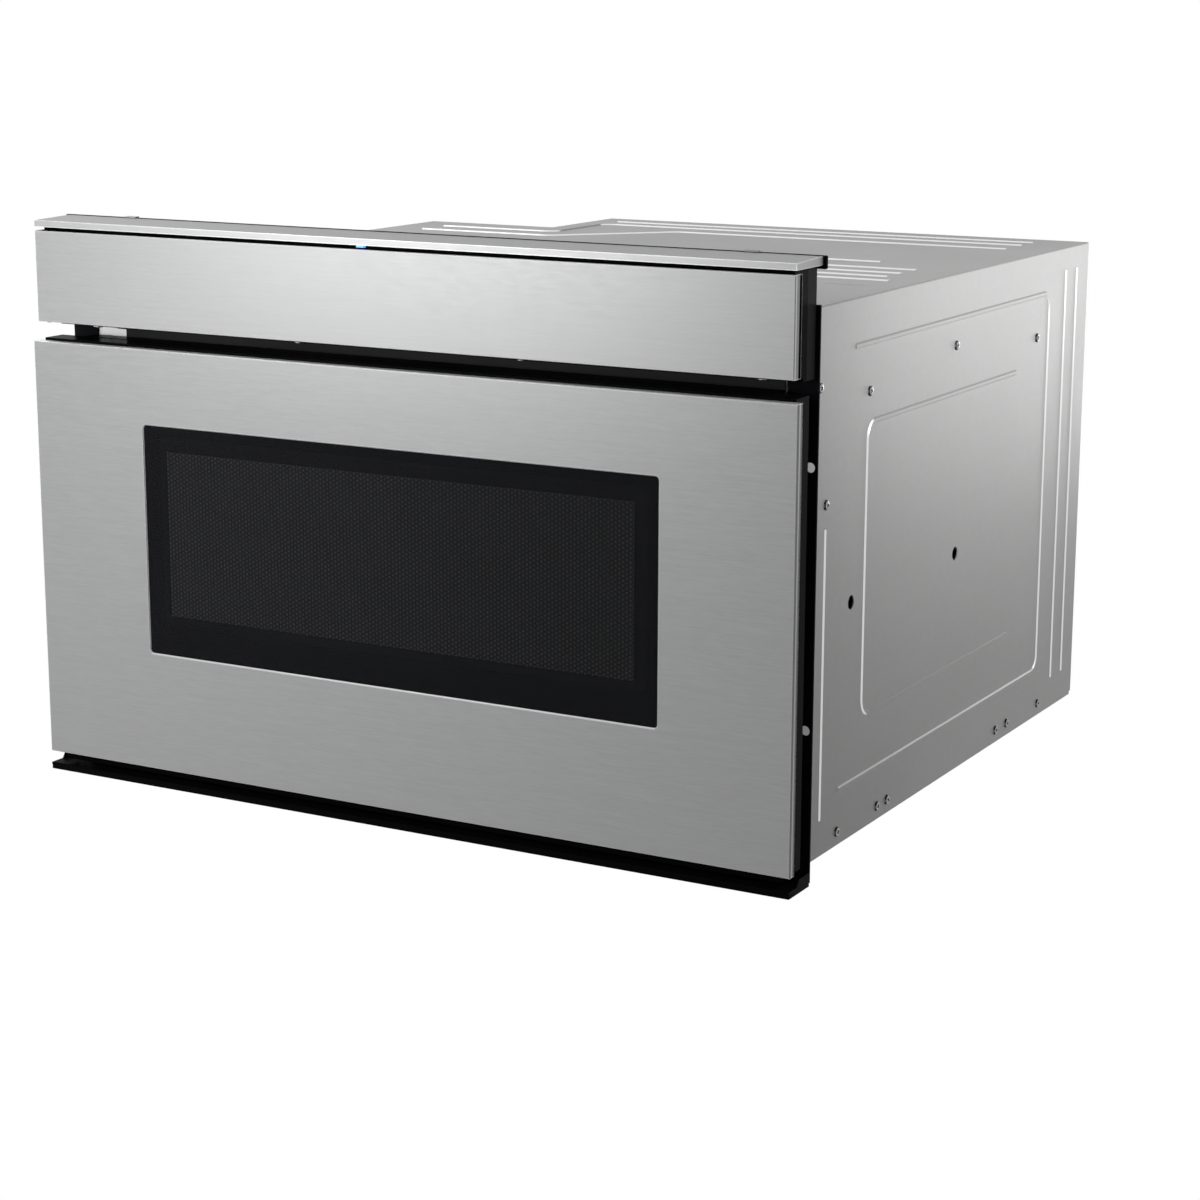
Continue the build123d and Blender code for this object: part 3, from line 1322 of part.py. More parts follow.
with BuildPart() as control_housing:
    block(-control_half, control_half, control_rear - control_sheet, control_rear, control_bottom,
          trim_bottom)
    block(-control_half, control_half, control_top_front, control_rear, trim_bottom - control_top_sheet,
          trim_bottom)
    block(-control_half, control_half, control_floor_front, control_rear, control_bottom,
          control_bottom + control_sheet)
    for side in (-1, 1):
        with BuildSketch(Plane.YZ.offset(side * control_half)):
            Polygon((behind(control_side_front), control_bottom + control_side_rise),
                    (behind(control_floor_front), control_bottom + control_side_rise),
                    (behind(control_floor_front), control_bottom), (behind(control_rear), control_bottom),
                    (behind(control_rear), trim_bottom), (behind(control_top_front), trim_bottom),
                    align=None)
        extrude(amount=-side * control_wall)
        round_along_x(side * control_half, tilt_axis_depth, tilt_axis, tilt_pin + 2 * running_gap,
                      4 * control_wall)
    for x in trim_ribs:
        with BuildSketch(Plane.YZ.offset(x)):
            Polygon((behind(control_top_front), trim_bottom - 1), (behind(control_rear), trim_bottom - 1),
                    (behind(control_rear), trim_underside(control_rear)),
                    (behind(control_top_front), trim_underside(control_top_front)), align=None)
        extrude(amount=rib_sheet, both=True)
save(control_housing, "control_housing")

lens_front = 5.5
with BuildPart() as status_led:
    block(led_x - led_width / 2, led_x + led_width / 2, lens_front, control_top_front,
          trim_bottom - control_top_sheet, trim_bottom)
save(status_led, "status_led")

# --- top trim over the control panel, with the lip that closes the gap to the cabinet ----------------
trim_half = trim_width / 2
with BuildPart() as top_trim:
    with BuildSketch(Plane.YZ.offset(-trim_half)):
        Polygon((behind(trim_setback), trim_bottom), (behind(control_rear), trim_bottom),
                (behind(control_rear), trim_rear_top), (behind(trim_setback), trim_front_top), align=None)
    extrude(amount=trim_width)
    with BuildSketch(Plane.YZ.offset(trim_sheet - trim_half)):
        Polygon((behind(trim_setback + trim_sheet), trim_bottom - 1),
                (behind(overall_depth), trim_bottom - 1),
                (behind(overall_depth), trim_underside(overall_depth)),
                (behind(trim_setback + trim_sheet), trim_underside(trim_setback + trim_sheet)), align=None)
    extrude(amount=trim_width - 2 * trim_sheet, mode=Mode.SUBTRACT)
save(top_trim, "top_trim")

lip_half = lip_width / 2
lip_low = lip_top - lip_drop
tab_width = 9.5
tab_reach = 2.5
tab_places = (-240.6, 246.6)
with BuildPart() as trim_rear_lip:
    block(-lip_half, lip_half, control_rear, control_rear + lip_thickness, lip_low, lip_top)
    fillet(trim_rear_lip.edges().filter_by(Axis.Y), 1)
    for x in tab_places:
        block(x - tab_width / 2, x + tab_width / 2, control_rear, control_rear + lip_thickness + tab_reach,
              lip_top - 1, lip_top + tab_rise)
        block(x - tab_width / 2, x + tab_width / 2, control_rear + lip_thickness,
              control_rear + lip_thickness + tab_reach, lip_low + 2, lip_top)
save(trim_rear_lip, "trim_rear_lip")

# --- tilting control panel: strip, carrier, glass, board and pins --------------------------------------
strip_half = strip_width / 2
strip_sheet = 1.2
wedge_half = wedge_width / 2
wedge_front = strip_setback + strip_sheet
wedge_bottom = strip_bottom + strip_sheet
wedge_top_gap = 2.4
wedge_top_front = strip_top - wedge_top_gap
wedge_wall = 2.0
wedge_ribs = (-200.0, -100.0, 0.0, 100.0, 200.0)


def wedge_top(depth, drop=0.0):
    """Height of the sloping control surface at this depth, less a drop."""
    return wedge_top_front - wedge_rear_drop * (depth - wedge_front) / (wedge_depth - wedge_front) - drop


with BuildPart() as control_strip:
    block(-strip_half, strip_half, strip_setback, strip_setback + strip_return, strip_bottom, strip_top)
    fillet(control_strip.faces().sort_by(Axis.Y)[0].edges(), strip_sheet / 2)
    block(strip_sheet - strip_half, strip_half - strip_sheet, wedge_front, strip_setback + strip_return + 1,
          strip_bottom - 1, strip_top + 1, mode=Mode.SUBTRACT)
    block(-wedge_half, wedge_half, wedge_front, strip_setback + strip_return, strip_bottom, wedge_bottom)
save(control_strip, "control_strip")

cell_share = 0.7
with BuildPart() as control_carrier:
    with BuildSketch(Plane.YZ.offset(-wedge_half)):
        Polygon((behind(wedge_front), wedge_bottom), (behind(wedge_depth), wedge_bottom),
                (behind(wedge_depth), wedge_top(wedge_depth, touch_glass_thickness)),
                (behind(wedge_front), wedge_top(wedge_front, touch_glass_thickness)), align=None)
    extrude(amount=wedge_width)
    with BuildSketch(Plane.YZ.offset(wedge_wall - wedge_half)):
        under = touch_glass_thickness + wedge_wall
        Polygon((behind(wedge_front + wedge_wall), wedge_bottom + wedge_wall),
                (behind(wedge_depth - wedge_wall), wedge_bottom + wedge_wall),
                (behind(wedge_depth - wedge_wall), wedge_top(wedge_depth - wedge_wall, under)),
                (behind(wedge_front + wedge_wall), wedge_top(wedge_front + wedge_wall, under)), align=None)
    extrude(amount=wedge_width - 2 * wedge_wall, mode=Mode.SUBTRACT)
    cell_height = (wedge_top(wedge_depth, under) - wedge_bottom) * cell_share
    with BuildSketch(facing_front(wedge_depth + 1)):
        with Locations((0, wedge_bottom + 2 * wedge_wall + cell_height / 2)):
            with GridLocations(wedge_ribs[1] - wedge_ribs[0], 0, len(wedge_ribs) - 1, 1):
                Rectangle(wedge_ribs[1] - wedge_ribs[0] - 6 * wedge_wall, cell_height)
    extrude(amount=2 * wedge_wall, mode=Mode.SUBTRACT)
    for x in wedge_ribs:
        with BuildSketch(Plane.YZ.offset(x)):
            Polygon((behind(wedge_front), wedge_bottom), (behind(wedge_depth), wedge_bottom),
                    (behind(wedge_depth), wedge_bottom + cell_height),
                    (behind(wedge_front), wedge_bottom + cell_height), align=None)
        extrude(amount=rib_sheet / 2, both=True)
    for side in (-1, 1):
        round_along_x(side * wedge_half, tilt_axis_depth, tilt_axis, tilt_pin, 4 * control_wall)
save(control_carrier, "control_carrier")


control_board_half = 86.0
chip_overlap = 0.1
chip_width = 22.0
chip_drop = 6.0
chip_pitch = 48.0


def sloping_slab(x0, x1, depth0, depth1, drop0, drop1):
    """A slab parallel to the control surface, between two distances below it."""
    with BuildSketch(Plane.YZ.offset(x0)) as slab:
        Polygon((behind(depth0), wedge_top(depth0, drop0)), (behind(depth1), wedge_top(depth1, drop0)),
                (behind(depth1), wedge_top(depth1, drop1)), (behind(depth0), wedge_top(depth0, drop1)),
                align=None)
    extrude(slab.sketch, amount=x1 - x0)


glass_half = wedge_half - control_wall
with BuildPart() as touch_glass:
    sloping_slab(-glass_half, glass_half, wedge_front, wedge_depth, 0, touch_glass_thickness)
save(touch_glass, "touch_glass")

with BuildPart() as control_board:
    board_top = touch_glass_thickness + wedge_wall
    board_under = board_top + board_thickness
    sloping_slab(-control_board_half, control_board_half, wedge_front + 2 * wedge_wall,
                 wedge_depth - 2 * wedge_wall, board_top, board_under)
    for chip in (-1, 0, 1):
        sloping_slab(chip * chip_pitch - chip_width / 2, chip * chip_pitch + chip_width / 2,
                     wedge_depth / 2 - chip_drop, wedge_depth / 2 + chip_drop, board_under - chip_overlap,
                     board_under + chip_drop)
save(control_board, "control_board")

pin_length = 2 * control_wall + 2.0
with BuildPart() as panel_hinge_pins:
    for side in (-1, 1):
        pin_end = control_half - fit_gap
        round_along_x(side * (pin_end - pin_length / 2), tilt_axis_depth, tilt_axis, tilt_pin, pin_length,
                      mode=Mode.ADD)
save(panel_hinge_pins, "panel_hinge_pins")
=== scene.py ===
import math

import bmesh
import bpy
from mathutils import Matrix, Vector


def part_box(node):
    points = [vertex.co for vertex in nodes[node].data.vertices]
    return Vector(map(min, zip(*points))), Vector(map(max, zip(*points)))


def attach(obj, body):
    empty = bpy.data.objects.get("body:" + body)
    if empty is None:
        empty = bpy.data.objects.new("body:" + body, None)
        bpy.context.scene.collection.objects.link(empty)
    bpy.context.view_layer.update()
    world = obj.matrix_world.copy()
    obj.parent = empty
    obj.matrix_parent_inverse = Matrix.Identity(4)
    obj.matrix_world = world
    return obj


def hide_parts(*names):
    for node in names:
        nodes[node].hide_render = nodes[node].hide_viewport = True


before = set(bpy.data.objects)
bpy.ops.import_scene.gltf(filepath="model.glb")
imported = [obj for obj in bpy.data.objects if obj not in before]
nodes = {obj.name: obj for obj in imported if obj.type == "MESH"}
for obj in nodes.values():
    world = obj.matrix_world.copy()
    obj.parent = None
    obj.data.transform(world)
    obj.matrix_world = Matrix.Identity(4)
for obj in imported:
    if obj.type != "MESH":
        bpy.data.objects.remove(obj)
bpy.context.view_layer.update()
scene = bpy.context.scene

# --- camera: the photograph's viewpoint --------------------------------------------------------
right = Vector((0.8732621886, 0.4872439707, 0.0025422352))
down = Vector((0.1101698754, -0.1923640068, -0.9751198324))
forward = Vector((-0.4746322245, 0.8518153567, -0.2216638208))
camera_data = bpy.data.cameras.new("camera")
camera_data.sensor_width = 36.0
camera_data.lens = 81.599
camera = bpy.data.objects.new("camera", camera_data)
axes = Matrix((right, -down, -forward)).transposed().to_4x4()
camera.matrix_world = Matrix.Translation((0.990178, -1.781437, 0.568918)) @ axes
scene.collection.objects.link(camera)
scene.camera = camera
scene.view_settings.view_transform = "Standard"

# --- light ------------------------------------------------------------------------------------


def white_where_seen(tree, surface, strength):
    """White to the camera and in reflections and refractions, and plain for other light."""
    path = tree.nodes.new("ShaderNodeLightPath")
    add_glossy = tree.nodes.new("ShaderNodeMath")
    add_glossy.operation = "MAXIMUM"
    add_transmission = tree.nodes.new("ShaderNodeMath")
    add_transmission.operation = "MAXIMUM"
    tree.links.new(path.outputs["Is Camera Ray"], add_glossy.inputs[0])
    tree.links.new(path.outputs["Is Glossy Ray"], add_glossy.inputs[1])
    tree.links.new(add_glossy.outputs[0], add_transmission.inputs[0])
    tree.links.new(path.outputs["Is Transmission Ray"], add_transmission.inputs[1])
    white = tree.nodes.new("ShaderNodeBackground" if strength else "ShaderNodeEmission")
    white.inputs["Color"].default_value = (1, 1, 1, 1)
    white.inputs["Strength"].default_value = 1.0
    mix = tree.nodes.new("ShaderNodeMixShader")
    tree.links.new(add_transmission.outputs[0], mix.inputs[0])
    tree.links.new(surface, mix.inputs[1])
    tree.links.new(white.outputs[0], mix.inputs[2])
    return mix.outputs[0]


world = bpy.data.worlds.new("world")
scene.world = world
world.use_nodes = True
tree = world.node_tree
tree.nodes.clear()
ambient = tree.nodes.new("ShaderNodeBackground")
ambient.inputs["Color"].default_value = (1, 1, 1, 1)
ambient.inputs["Strength"].default_value = 0.12
output = tree.nodes.new("ShaderNodeOutputWorld")
tree.links.new(white_where_seen(tree, ambient.outputs[0], True), output.inputs["Surface"])


def lamp(name, place, target, size, power, spread=180.0):
    """A rectangular area light at a place, turned to its target."""
    data = bpy.data.lights.new(name, "AREA")
    data.shape = "RECTANGLE"
    data.size, data.size_y = size
    data.energy = power
    data.spread = math.radians(spread)
    obj = bpy.data.objects.new(name, data)
    obj.location = place
    obj.rotation_euler = (Vector(target) - Vector(place)).to_track_quat("-Z", "Y").to_euler()
    obj.visible_camera = False
    scene.collection.objects.link(obj)


lamp("key", (-0.36, -0.95, 0.46), (-0.12, -0.3, 0.20), (0.45, 0.45), 4.45)
lamp("side", (0.62, 0.18, 0.44), (0.27, 0.20, 0.37), (0.76, 0.07), 0.88, 110)
lamp("top", (-0.62, -0.24, 0.98), (-0.02, 0.0, 0.4), (0.5, 0.12), 3.1)
lamp("back", (0.10, 1.35, 0.18), (0.0, 0.3, 0.18), (0.9, 0.34), 2.8, 120)
lamp("left", (-1.10, 0.12, 0.20), (-0.28, 0.08, 0.20), (0.6, 0.30), 1.1, 110)

# --- floor --------------------------------------------------------------------------------------
floor_mesh = bpy.data.meshes.new("floor")
span = 12.0
floor_corners = [(-span, -span, 0), (span, -span, 0), (span, span, 0), (-span, span, 0)]
floor_mesh.from_pydata(floor_corners, [], [(0, 1, 2, 3)])
floor = bpy.data.objects.new("floor", floor_mesh)
floor.location.z = -0.0005
scene.collection.objects.link(floor)
floor_material = bpy.data.materials.new("floor")
floor_material.use_nodes = True
tree = floor_material.node_tree
pale = tree.nodes["Principled BSDF"]
pale.inputs["Base Color"].default_value = (0.55, 0.55, 0.55, 1)
pale.inputs["Roughness"].default_value = 0.9
pale.inputs["Specular IOR Level"].default_value = 0.1
tree.links.new(white_where_seen(tree, pale.outputs[0], False),
               tree.nodes["Material Output"].inputs["Surface"])
floor.data.materials.append(floor_material)

# --- materials ------------------------------------------------------------------------------------


class Surface:
    """A material under construction: its node tree and its principled shader."""

    def __init__(self, name, metallic=0.0, roughness=0.5, specular=0.5, alpha=1.0):
        self.material = bpy.data.materials.new(name)
        self.material.use_nodes = True
        self.tree = self.material.node_tree
        self.shader = self.tree.nodes["Principled BSDF"]
        self.shader.inputs["Metallic"].default_value = metallic
        self.shader.inputs["Roughness"].default_value = roughness
        self.shader.inputs["Specular IOR Level"].default_value = specular
        self.shader.inputs["Alpha"].default_value = alpha
        self.coordinates = self.tree.nodes.new("ShaderNodeTexCoord").outputs["Object"]

    def link(self, source, target):
        self.tree.links.new(source, target)

    def noise(self, scale, stretch=(1, 1, 1), detail=2.0, rough=0.5):
        """Noise in the object's own metres, stretched along an axis by a small factor."""
        mapping = self.tree.nodes.new("ShaderNodeMapping")
        mapping.inputs["Scale"].default_value = stretch
        self.link(self.coordinates, mapping.inputs["Vector"])
        noise = self.tree.nodes.new("ShaderNodeTexNoise")
        noise.inputs["Scale"].default_value = scale
        noise.inputs["Detail"].default_value = detail
        noise.inputs["Roughness"].default_value = rough
        self.link(mapping.outputs[0], noise.inputs["Vector"])
        return noise.outputs["Fac"]

    def ramp(self, source, low, high, start=0.3, end=0.7):
        """Two colours or two greys over part of the source's range."""
        ramp = self.tree.nodes.new("ShaderNodeValToRGB")
        ramp.color_ramp.elements[0].position = start
        ramp.color_ramp.elements[1].position = end
        for element, color in zip(ramp.color_ramp.elements, (low, high)):
            element.color = (*color, 1) if isinstance(color, tuple) else (color, color, color, 1)
        self.link(source, ramp.inputs["Fac"])
        return ramp.outputs["Color"]

    def greys(self, source, stops):
        """A row of greys, each at its position; the first is at 0 and the last at 1."""
        ramp = self.tree.nodes.new("ShaderNodeValToRGB")
        for position, value in stops:
            if position in (0.0, 1.0):
                stop = ramp.color_ramp.elements[0 if position == 0.0 else -1]
            else:
                stop = ramp.color_ramp.elements.new(position)
            stop.color = (value, value, value, 1)
        self.link(source, ramp.inputs["Fac"])
        return ramp.outputs["Color"]

    def mix(self, factor, first, second, blend="MIX"):
        """Mixes two colours; the factor and either colour may be a socket or a value."""
        mix = self.tree.nodes.new("ShaderNodeMix")
        mix.data_type = "RGBA"
        mix.blend_type = blend
        for socket, value in ((mix.inputs[0], factor), (mix.inputs[6], first), (mix.inputs[7], second)):
            if isinstance(value, bpy.types.NodeSocket):
                self.link(value, socket)
            elif isinstance(value, tuple):
                socket.default_value = (*value, 1)
            else:
                socket.default_value = value
        return mix.outputs[2]

    def math(self, operation, first, second=0.0, third=0.0):
        """One arithmetic step on sockets or numbers."""
        made = self.tree.nodes.new("ShaderNodeMath")
        made.operation = operation
        for socket, value in zip(made.inputs, (first, second, third)):
            if isinstance(value, bpy.types.NodeSocket):
                self.link(value, socket)
            else:
                socket.default_value = value
        return made.outputs[0]

    def normal(self, axis):
        """One part of the surface's own normal, before any bump."""
        split = self.tree.nodes.new("ShaderNodeSeparateXYZ")
        self.link(self.coordinates.node.outputs["Normal"], split.inputs[0])
        return split.outputs[axis]

    def place(self, axis):
        """One part of the point's place on the object, in metres."""
        split = self.tree.nodes.new("ShaderNodeSeparateXYZ")
        self.link(self.coordinates, split.inputs[0])
        return split.outputs[axis]

    def color(self, source):
        self.link(source, self.shader.inputs["Base Color"])

    def roughness(self, source):
        self.link(source, self.shader.inputs["Roughness"])

    def bump(self, source, strength, distance):
        bump = self.tree.nodes.new("ShaderNodeBump")
        bump.inputs["Strength"].default_value = strength
        bump.inputs["Distance"].default_value = distance
        self.link(source, bump.inputs["Height"])
        self.link(bump.outputs[0], self.shader.inputs["Normal"])

    def painted_edge_highlight(self, radius):
        """A mask that is bright where the surface turns over an edge, used for a painted edge highlight."""
        bevel = self.tree.nodes.new("ShaderNodeBevel")
        bevel.samples = 4
        bevel.inputs["Radius"].default_value = radius
        geometry = self.tree.nodes.new("ShaderNodeNewGeometry")
        dot = self.tree.nodes.new("ShaderNodeVectorMath")
        dot.operation = "DOT_PRODUCT"
        self.link(bevel.outputs[0], dot.inputs[0])
        self.link(geometry.outputs["Normal"], dot.inputs[1])
        return self.ramp(dot.outputs["Value"], 1.0, 0.0, 0.80, 0.99)


drawer_face = -0.295275
hem_depth = 0.010
# Greys of the painted reflection and painted shade on the side faces, by depth behind the front face in hem
# depths.
painted_hem_greys = ((0.0, 0.13), (0.22, 0.13), (0.27, 0.52), (0.37, 0.50), (0.43, 0.18), (1.0, 0.17))


def stainless(name, tint=(0.36, 0.362, 0.365), painted_top_light=1.0, painted_hem_reflection=True, painted_shade_from=-0.2892):
    """Brushed stainless sheet, its grain running along X, with a painted highlight on its rounded edges.

    Faces that look up have their colour multiplied by a given factor: painted light on them above one,
    painted shade below one. Optionally the side faces near the front get a painted reflection of the folded
    hem, a bright line between darker ones, and painted shade, near black and without shine, from a given
    depth back.
    """
    metallic, specular = 0.35, 0.2
    s = Surface(name, metallic=metallic, roughness=0.38, specular=specular)
    fleck = s.noise(1.0, (90, 1600, 1600), 2.0, 0.6)
    streak = s.noise(1.0, (20, 900, 900), 3.0, 0.6)
    dark = tuple(0.93 * v for v in tint)
    light = tuple(1.06 * v for v in tint)
    grain = s.mix(0.4, s.ramp(fleck, dark, light, 0.3, 0.7), s.ramp(streak, dark, light, 0.3, 0.7))
    # Painted reflection of the hem on the side faces, then painted shade, near black and without shine,
    # further back.
    if painted_hem_reflection:
        sideways = s.math("GREATER_THAN", s.math("ABSOLUTE", s.normal("X")), 0.7)
        depth = s.math("DIVIDE", s.math("SUBTRACT", s.place("Y"), drawer_face), hem_depth)
        grain = s.mix(sideways, grain, s.greys(depth, painted_hem_greys))
        painted_shade_behind = s.math("MULTIPLY", sideways, s.math("GREATER_THAN", s.place("Y"), painted_shade_from))
        grain = s.mix(painted_shade_behind, grain, (0.006, 0.006, 0.006))
        shine = s.math("SUBTRACT", 1.0, painted_shade_behind)
        s.link(s.math("MULTIPLY", shine, metallic), s.shader.inputs["Metallic"])
        s.link(s.math("MULTIPLY", shine, specular), s.shader.inputs["Specular IOR Level"])
    # Painted light on faces that look up; a factor below one paints shade there instead.
    if painted_top_light != 1.0:
        facing_up = s.ramp(s.normal("Z"), 0.0, 1.0, 0.6, 0.9)
        grain = s.mix(facing_up, grain, s.mix(1.0, grain, (painted_top_light, painted_top_light, painted_top_light), "MULTIPLY"))
    # Painted highlight where the surface turns over its rounded edges.
    s.color(s.mix(s.painted_edge_highlight(0.0012), grain, (0.92, 0.92, 0.92)))
    s.roughness(s.ramp(fleck, 0.33, 0.45, 0.3, 0.7))
    s.bump(fleck, 0.1, 0.00004)
    return s.material


# Height below which both slopes of a side bead get a painted highlight.
lowest_bead_top = 0.055


def galvanised(name, tint=(0.50, 0.50, 0.497), rough=0.45):
    """Satin zinc-coated sheet with a faint spangle and rolling marks.

    The pressed beads carry a painted highlight, with a raised metallic, on the slopes that face forward and
    painted shade on those that face back. On the side walls their upper slopes get painted shade and their
    lower ones a painted highlight, and the lowest bead gets a painted highlight on both.
    """
    metallic = 0.1
    s = Surface(name, metallic=metallic, roughness=rough, specular=0.2)
    spangle = s.tree.nodes.new("ShaderNodeTexVoronoi")
    spangle.inputs["Scale"].default_value = 220.0
    s.link(s.coordinates, spangle.inputs["Vector"])
    cloud = s.noise(9.0, (1, 1, 1), 4.0)
    rolled = s.noise(1.0, (60, 4, 700), 2.0)
    dark = tuple(0.965 * v for v in tint)
    light = tuple(1.03 * v for v in tint)
    body = s.mix(0.3, s.ramp(cloud, dark, light), s.ramp(rolled, dark, light))
    body = s.mix(0.03, body, spangle.outputs["Color"], "SOFT_LIGHT")
    # Painted light and shade on the beads, by the way their slopes face.
    lean = s.normal("Y")
    forward = s.ramp(s.math("MULTIPLY", lean, -1.0), 0.0, 1.0, 0.14, 0.30)
    backward = s.math("MULTIPLY", s.ramp(lean, 0.0, 1.0, 0.14, 0.30), s.math("LESS_THAN", lean, 0.92))
    on_side = s.math("GREATER_THAN", s.math("ABSOLUTE", s.normal("X")), 0.3)
    rise = s.normal("Z")
    upper = s.math("MULTIPLY", on_side, s.ramp(rise, 0.0, 1.0, 0.10, 0.25))
    lower = s.math("MULTIPLY", on_side, s.ramp(s.math("MULTIPLY", rise, -1.0), 0.0, 1.0, 0.10, 0.25))
    body = s.mix(upper, body, s.mix(1.0, body, (0.72, 0.72, 0.72), "MULTIPLY"))
    body = s.mix(lower, body, tuple(min(1.0, 1.35 * v) for v in tint))
    lowest_bead = s.math("MULTIPLY", s.math("MAXIMUM", upper, lower),
                         s.math("LESS_THAN", s.place("Z"), lowest_bead_top))
    body = s.mix(lowest_bead, body, (0.86, 0.86, 0.86))
    # Painted highlight on forward slopes, painted shade on backward ones.
    painted_bead_highlight = s.mix(forward, body, (0.80, 0.80, 0.80))
    s.link(s.math("MAXIMUM", s.math("MULTIPLY", forward, 0.75), metallic), s.shader.inputs["Metallic"])
    s.color(s.mix(backward, painted_bead_highlight, s.mix(1.0, body, (0.62, 0.62, 0.62), "MULTIPLY")))
    s.roughness(s.ramp(cloud, rough - 0.04, rough + 0.05))
    s.bump(rolled, 0.05, 0.00003)
    return s.material


def moulded(name, tint, rough=0.42, grain=900.0, specular=0.4):
    """Moulded plastic or sprayed sheet with a fine even texture."""
    s = Surface(name, roughness=rough, specular=specular)
    speckle = s.noise(grain, (1, 1, 1), 2.0)
    cloud = s.noise(9.0, (1, 1, 1), 3.0)
    s.color(s.ramp(cloud, tuple(0.85 * v for v in tint), tuple(1.15 * v for v in tint)))
    s.roughness(s.ramp(cloud, rough - 0.06, rough + 0.08))
    s.bump(speckle, 0.2, 0.00006)
    return s.material


def painted(name, tint, bare, axis, level, specular=0.01, tabs=None):
    """Black enamel that stops at a level along one axis, with bare sheet beyond.

    Where tabs are given, as the middle of the pair, their distance from it and half their width, only
    they are bare.
    """
    s = Surface(name, roughness=0.4, specular=specular)
    cloud = s.noise(12.0, (1, 1, 1), 3.0)
    beyond = s.math("GREATER_THAN", s.place(axis), level)
    if tabs:
        middle, reach, half = tabs
        offset = s.math("SUBTRACT", s.math("ABSOLUTE", s.math("SUBTRACT", s.place("X"), middle)), reach)
        beyond = s.math("MULTIPLY", beyond, s.math("LESS_THAN", s.math("ABSOLUTE", offset), half))
    s.color(s.mix(beyond, s.ramp(cloud, tuple(0.85 * v for v in tint), tint),
                  s.ramp(cloud, tuple(0.92 * v for v in bare), bare)))
    s.roughness(s.ramp(cloud, 0.34, 0.48))
    s.bump(s.noise(700.0, (1, 1, 1), 2.0), 0.15, 0.00005)
    return s.material


def screw_steel(name):
    """Dark zinc screw heads, with a painted highlight where they face out and painted shade, nearly black, on
    the rim and in the cross.
    """
    s = Surface(name, metallic=1.0, roughness=0.28)
    facing = s.math("MAXIMUM", s.math("ABSOLUTE", s.normal("X")), s.math("ABSOLUTE", s.normal("Y")))
    scuff = s.noise(900.0, (1, 1, 1), 2.0)
    painted_crown_highlight = s.ramp(scuff, (0.24, 0.24, 0.25), (0.36, 0.36, 0.37))
    # Painted highlight on the outward-facing crown, painted shade on the rim and in the cross.
    s.color(s.mix(s.ramp(facing, 0.0, 1.0, 0.90, 0.985), (0.012, 0.012, 0.013), painted_crown_highlight))
    s.roughness(s.ramp(scuff, 0.22, 0.34))
    return s.material


def plated(name, tint=(0.55, 0.55, 0.56), rough=0.33):
    """Zinc-plated steel or bare aluminium with scuffs along its length."""
    s = Surface(name, metallic=1.0, roughness=rough)
    scuff = s.noise(1.0, (300, 14, 300), 4.0, 0.6)
    cloud = s.noise(25.0, (1, 1, 1), 3.0)
    dark = tuple(0.86 * v for v in tint)
    s.color(s.mix(0.5, s.ramp(scuff, dark, tint), s.ramp(cloud, dark, tint)))
    s.roughness(s.ramp(scuff, rough - 0.08, rough + 0.12))
    s.bump(scuff, 0.15, 0.00005)
    return s.material


def glassy(name, tint, alpha, specular):
    """Float glass: a thin tint, a sharp reflection and very faint handling marks."""
    s = Surface(name, roughness=0.05, specular=specular, alpha=alpha)
    smear = s.noise(14.0, (1, 1, 2), 4.0)
    s.color(s.ramp(smear, tuple(0.92 * v for v in tint), tuple(1.08 * v for v in tint)))
    s.roughness(s.ramp(smear, 0.03, 0.09, 0.35, 0.75))
    return s.material


screen_middle, screen_half_width = -0.0019, 0.1859
screen_low, screen_high = 0.1300, 0.2477


def perforated(name, row, column, radius, sheet, zone, hole):
    """Black sheet with staggered columns of small round openings within the window's field.

    The field between the openings shows as zone, the openings as hole, and the rest as sheet.
    """
    s = Surface(name, roughness=0.5, specular=0.1)
    x, z = s.place("X"), s.place("Z")

    def from_center(shift):
        """Distance from the nearest point of a rectangular lattice."""
        dx = s.math("WRAP", s.math("ADD", x, shift * column), 2 * column, 0.0)
        dx = s.math("SUBTRACT", dx, column)
        dz = s.math("WRAP", s.math("ADD", z, shift * row / 2), row, 0.0)
        dz = s.math("SUBTRACT", dz, row / 2)
        return s.math("SQRT", s.math("ADD", s.math("MULTIPLY", dx, dx), s.math("MULTIPLY", dz, dz)))

    nearest = s.math("MINIMUM", from_center(0.0), from_center(1.0))
    opening = s.math("MINIMUM", 1.0, s.math("DIVIDE", s.math("SUBTRACT", radius, nearest), radius * 0.5))
    field = s.math("MAXIMUM", opening, 0.0)
    from_middle = s.math("ABSOLUTE", s.math("SUBTRACT", x, screen_middle))
    in_height = s.math("MULTIPLY", s.math("GREATER_THAN", z, screen_low), s.math("LESS_THAN", z, screen_high))
    inside = s.math("MULTIPLY", s.math("LESS_THAN", from_middle, screen_half_width), in_height)
    lit = s.mix(1.0, hole, s.ramp(s.noise(220.0, (1, 1, 1), 1.0), 0.75, 1.0), "MULTIPLY")
    s.color(s.mix(inside, sheet, s.mix(field, zone, lit)))
    return s.material


def board_lacquer(name):
    """Circuit board with copper tracks under green lacquer."""
    s = Surface(name, roughness=0.35)
    bricks = s.tree.nodes.new("ShaderNodeTexBrick")
    bricks.inputs["Scale"].default_value = 90.0
    bricks.inputs["Color1"].default_value = (0.02, 0.11, 0.045, 1)
    bricks.inputs["Color2"].default_value = (0.03, 0.16, 0.06, 1)
    bricks.inputs["Mortar"].default_value = (0.05, 0.24, 0.09, 1)
    s.link(s.coordinates, bricks.inputs["Vector"])
    s.color(bricks.outputs["Color"])
    s.bump(bricks.outputs["Fac"], 0.2, 0.0001)
    return s.material


